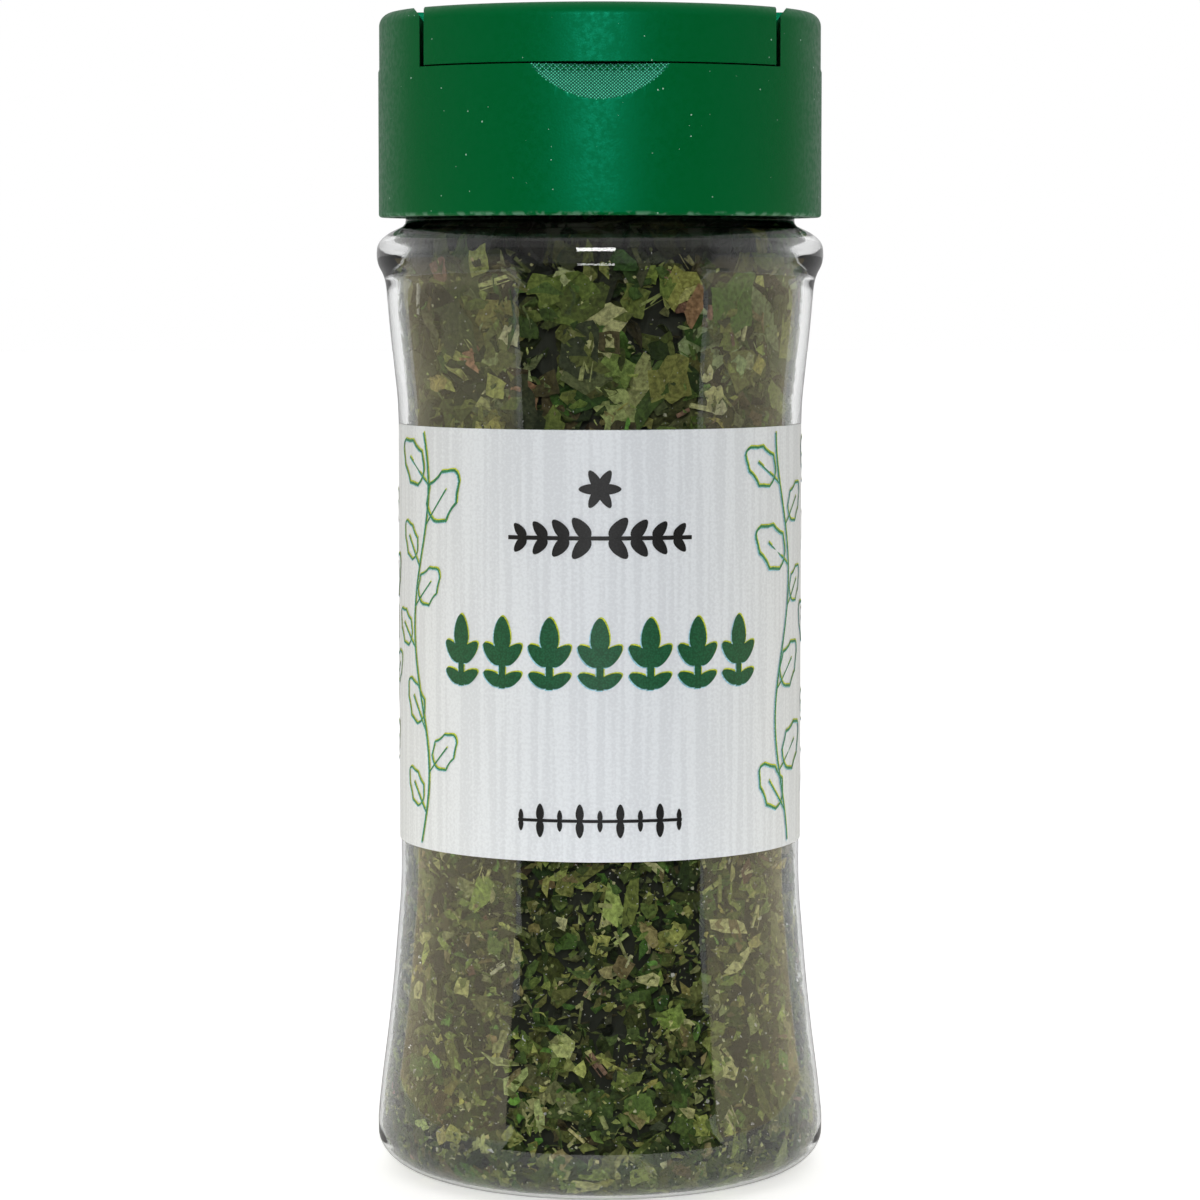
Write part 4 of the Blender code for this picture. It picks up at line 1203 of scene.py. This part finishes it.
def finished(piece, edge, material, body, node):
    """Ease the sharp edges, shade, give the material and hand the piece to its body."""
    chosen_only(piece)
    modified(piece, "BEVEL", width=edge, segments=2, limit_method="ANGLE", angle_limit=math.radians(60))
    bpy.ops.object.shade_smooth_by_angle(angle=SMOOTH_BELOW)
    modified(piece, "WEIGHTED_NORMAL", keep_sharp=True)
    covered(piece, material)
    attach(piece, body)
    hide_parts(node)


def drum(name, radius, low, high):
    """A plain drum round the jar's axis, to cut with."""
    return turned(name, [(0.0, high), (radius, high), (radius, low), (0.0, low)], 96)


def crown(bottom):
    """Outline of the crown from the middle of its top down its side."""
    rounding = arc((CROWN_RADIUS - CROWN_ROUND, CAP_TOP - CROWN_ROUND), (CROWN_ROUND, CROWN_ROUND), 90, 0, 10)
    return [(0.0, CAP_TOP)] + rounding + [(CROWN_RADIUS, bottom)]


cap_line = crown(SPLIT) + [(SKIRT_RADIUS, DECK_TOP)]
cap_line += [(SKIRT_RADIUS, h) for h in reversed(levels(SKIRT_BOTTOM + SKIRT_RIM, 0.1062, 0.0018))]
cap_line += arc((SKIRT_RADIUS - SKIRT_RIM, SKIRT_BOTTOM + SKIRT_RIM), (SKIRT_RIM, SKIRT_RIM), -30, -90, 2)
cap_line += [(SKIRT_INNER + 0.0002, SKIRT_BOTTOM), (SKIRT_INNER, SKIRT_BOTTOM + 0.0002),
             (SKIRT_INNER, DECK_BOTTOM), (0.0, DECK_BOTTOM)]
cap = turned("cap_moulding", cap_line, CAP_STEPS)
inside_top = CAP_TOP - MOULDED_WALL
for side in (-1, 1):
    well = box("flap_well", (-WELL_HALF, side * BAR_HALF, DECK_TOP),
               (WELL_HALF, side * WELL_REACH, CAP_TOP + WELL_SLOPE))
    edit_all()
    bpy.ops.mesh.bisect(plane_co=(0, 0, CAP_TOP - WELL_SLOPE), plane_no=(0, 0, 1))
    edit_done()
    for vertex in well.data.vertices:
        if vertex.co.z > CAP_TOP:
            vertex.co.x += math.copysign(2 * WELL_SLOPE * WELL_FLARE, vertex.co.x)
    cut(cap, well)
    room = drum("wing_room", SKIRT_INNER, ROOM_LOW, inside_top)
    cut(cap, sliced(room, (-side, 0, -(WELL_HALF + MOULDED_WALL))))
    grip = started("grip_cutter", bpy.ops.mesh.primitive_grid_add, x_subdivisions=GRIP_CELLS,
                   y_subdivisions=GRIP_CELLS, size=1.0)
    for vertex in grip.data.vertices:
        i, j = round((vertex.co.x + 0.5) * GRIP_CELLS), round((vertex.co.y + 0.5) * GRIP_CELLS)
        u = (i - j) * GRIP_PITCH / 2
        v = (i + j - GRIP_CELLS) * GRIP_PITCH / 2
        high = GRIP_RADIUS + (GRIP_RELIEF if i % 2 and j % 2 else 0.0)
        polar = math.atan2(GRIP_RISE - GRIP_AIM_HEIGHT, GRIP_REACH - GRIP_AIM_REACH) - v / GRIP_RADIUS
        across = u / GRIP_RADIUS
        flat_reach = high * math.cos(polar)
        vertex.co = (high * math.sin(across), side * (GRIP_REACH - flat_reach * math.cos(across)),
                     GRIP_RISE - high * math.sin(polar))
    edit_all()
    bpy.ops.mesh.extrude_region_move(TRANSFORM_OT_translate={"value": (0, side * GRIP_LIFT[0], GRIP_LIFT[1])})
    edit_done(outward=True)
    cut(cap, grip)
bar_inner = BAR_HALF - MOULDED_WALL
cut(cap, box("bar_room", (-WELL_HALF + MOULDED_WALL, -bar_inner, ROOM_LOW),
             (WELL_HALF - MOULDED_WALL, bar_inner, inside_top)))
for row, columns in HOLE_ROWS:
    for column in columns:
        hole = started("sift_hole", bpy.ops.mesh.primitive_cylinder_add, vertices=48, radius=HOLE_RADIUS,
                       depth=0.006, location=(column, row, DECK_TOP))
        bpy.ops.object.transform_apply(location=True, rotation=False, scale=False)
        cut(cap, hole)
spoon = drum("spoon_opening", SPOON_RADIUS, ROOM_LOW, DECK_TOP + 0.001)
cut(cap, sliced(spoon, (0, -1, -SPOON_NEAR), (1, 0, SPOON_HALF), (-1, 0, SPOON_HALF)))
cap_green = satin_green()
finished(cap, CAP_EASE, cap_green, "jar_body", "cap_base")
cap.data.materials.append(grip_green())
for polygon in cap.data.polygons:
    x, y, z = polygon.center
    reach = math.sqrt(x * x + (GRIP_REACH - abs(y)) ** 2 + (GRIP_RISE - z) ** 2)
    on_grip = z < DECK_TOP + 0.0001 and abs(reach - GRIP_RADIUS) < 0.0002 and abs(y) > GRIP_NEAREST
    if on_grip and polygon.normal.z > 0.2:
        polygon.material_index = 1

SKIRT_THREAD_CREST = 0.01975
skirt_thread = thread_ridge("skirt_thread", SKIRT_INNER + THREAD_SUNK, SKIRT_THREAD_CREST,
                            NECK_THREAD_START - THREAD_PITCH / 2, cap_green)

# The two flaps. Each is a plate with a wall all round, moulded with the cap and hinged to the bar's
# top edge, the front one over the sifter holes and the rear one over the spoon opening.
FLAP_HALF = 0.0169
FLAP_WALL = 0.0011
FLAP_GAP = 0.0003
FLAP_ROUND = 0.0007
FLAP_BOTTOM = 0.10976
FLAP_EASE = 0.00008
POCKET_LOW = 0.1090
FILM_HALF = 0.0162
FILM_NEAR = 0.0031
FILM_FAR = 0.00362
FILM_LOW = 0.00022
FILM_TOP = 0.00004
FILM_STEP = 0.000065

for side, body, node in ((-1, "sift_flap", "flap_sift"), (1, "spoon_flap", "flap_spoon")):
    near = BAR_HALF + FLAP_GAP
    flap = turned(node + "_moulding", crown(FLAP_BOTTOM) + [(0.0, FLAP_BOTTOM)], CAP_STEPS)
    sliced(flap, (1, 0, FLAP_HALF), (-1, 0, FLAP_HALF), (0, -side, -near))
    bpy.ops.object.mode_set(mode="EDIT")
    bpy.ops.mesh.select_mode(type="EDGE")
    bpy.ops.mesh.select_all(action="DESELECT")
    edit_done()
    corners = flap.data.vertices
    for edge in flap.data.edges:
        ends = [corners[k].co for k in edge.vertices]
        on_side = all(abs(abs(end.x) - FLAP_HALF) < 0.000002 for end in ends)
        high_up = sum(end.z for end in ends) / 2 > SPLIT + 0.0020
        edge.select = on_side and high_up and abs(ends[0].y - ends[1].y) > 0.00001
    bpy.ops.object.mode_set(mode="EDIT")
    bpy.ops.mesh.bevel(offset=FLAP_ROUND, segments=5, profile=0.5, affect="EDGES")
    bpy.ops.mesh.select_mode(type="VERT")
    edit_done()
    pocket = drum("flap_pocket", CROWN_RADIUS - FLAP_WALL, POCKET_LOW, inside_top)
    sliced(pocket, (1, 0, FLAP_HALF - FLAP_WALL), (-1, 0, FLAP_HALF - FLAP_WALL),
           (0, -side, -near - FLAP_WALL))
    cut(flap, pocket)
    finished(flap, FLAP_EASE, cap_green, body, node)

    film_hinge = box("film_hinge", (-FILM_HALF, side * FILM_NEAR, CAP_TOP - FILM_LOW),
                     (FILM_HALF, side * FILM_FAR, CAP_TOP - FILM_TOP))
    edit_all()
    for k in range(1, 8):
        bpy.ops.mesh.select_all(action="SELECT")
        bpy.ops.mesh.bisect(plane_co=(0, side * (FILM_NEAR + FILM_STEP * k), 0), plane_no=(0, 1, 0))
    edit_done()
    film_hinge.data.materials.append(cap_green)
    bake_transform(film_hinge)
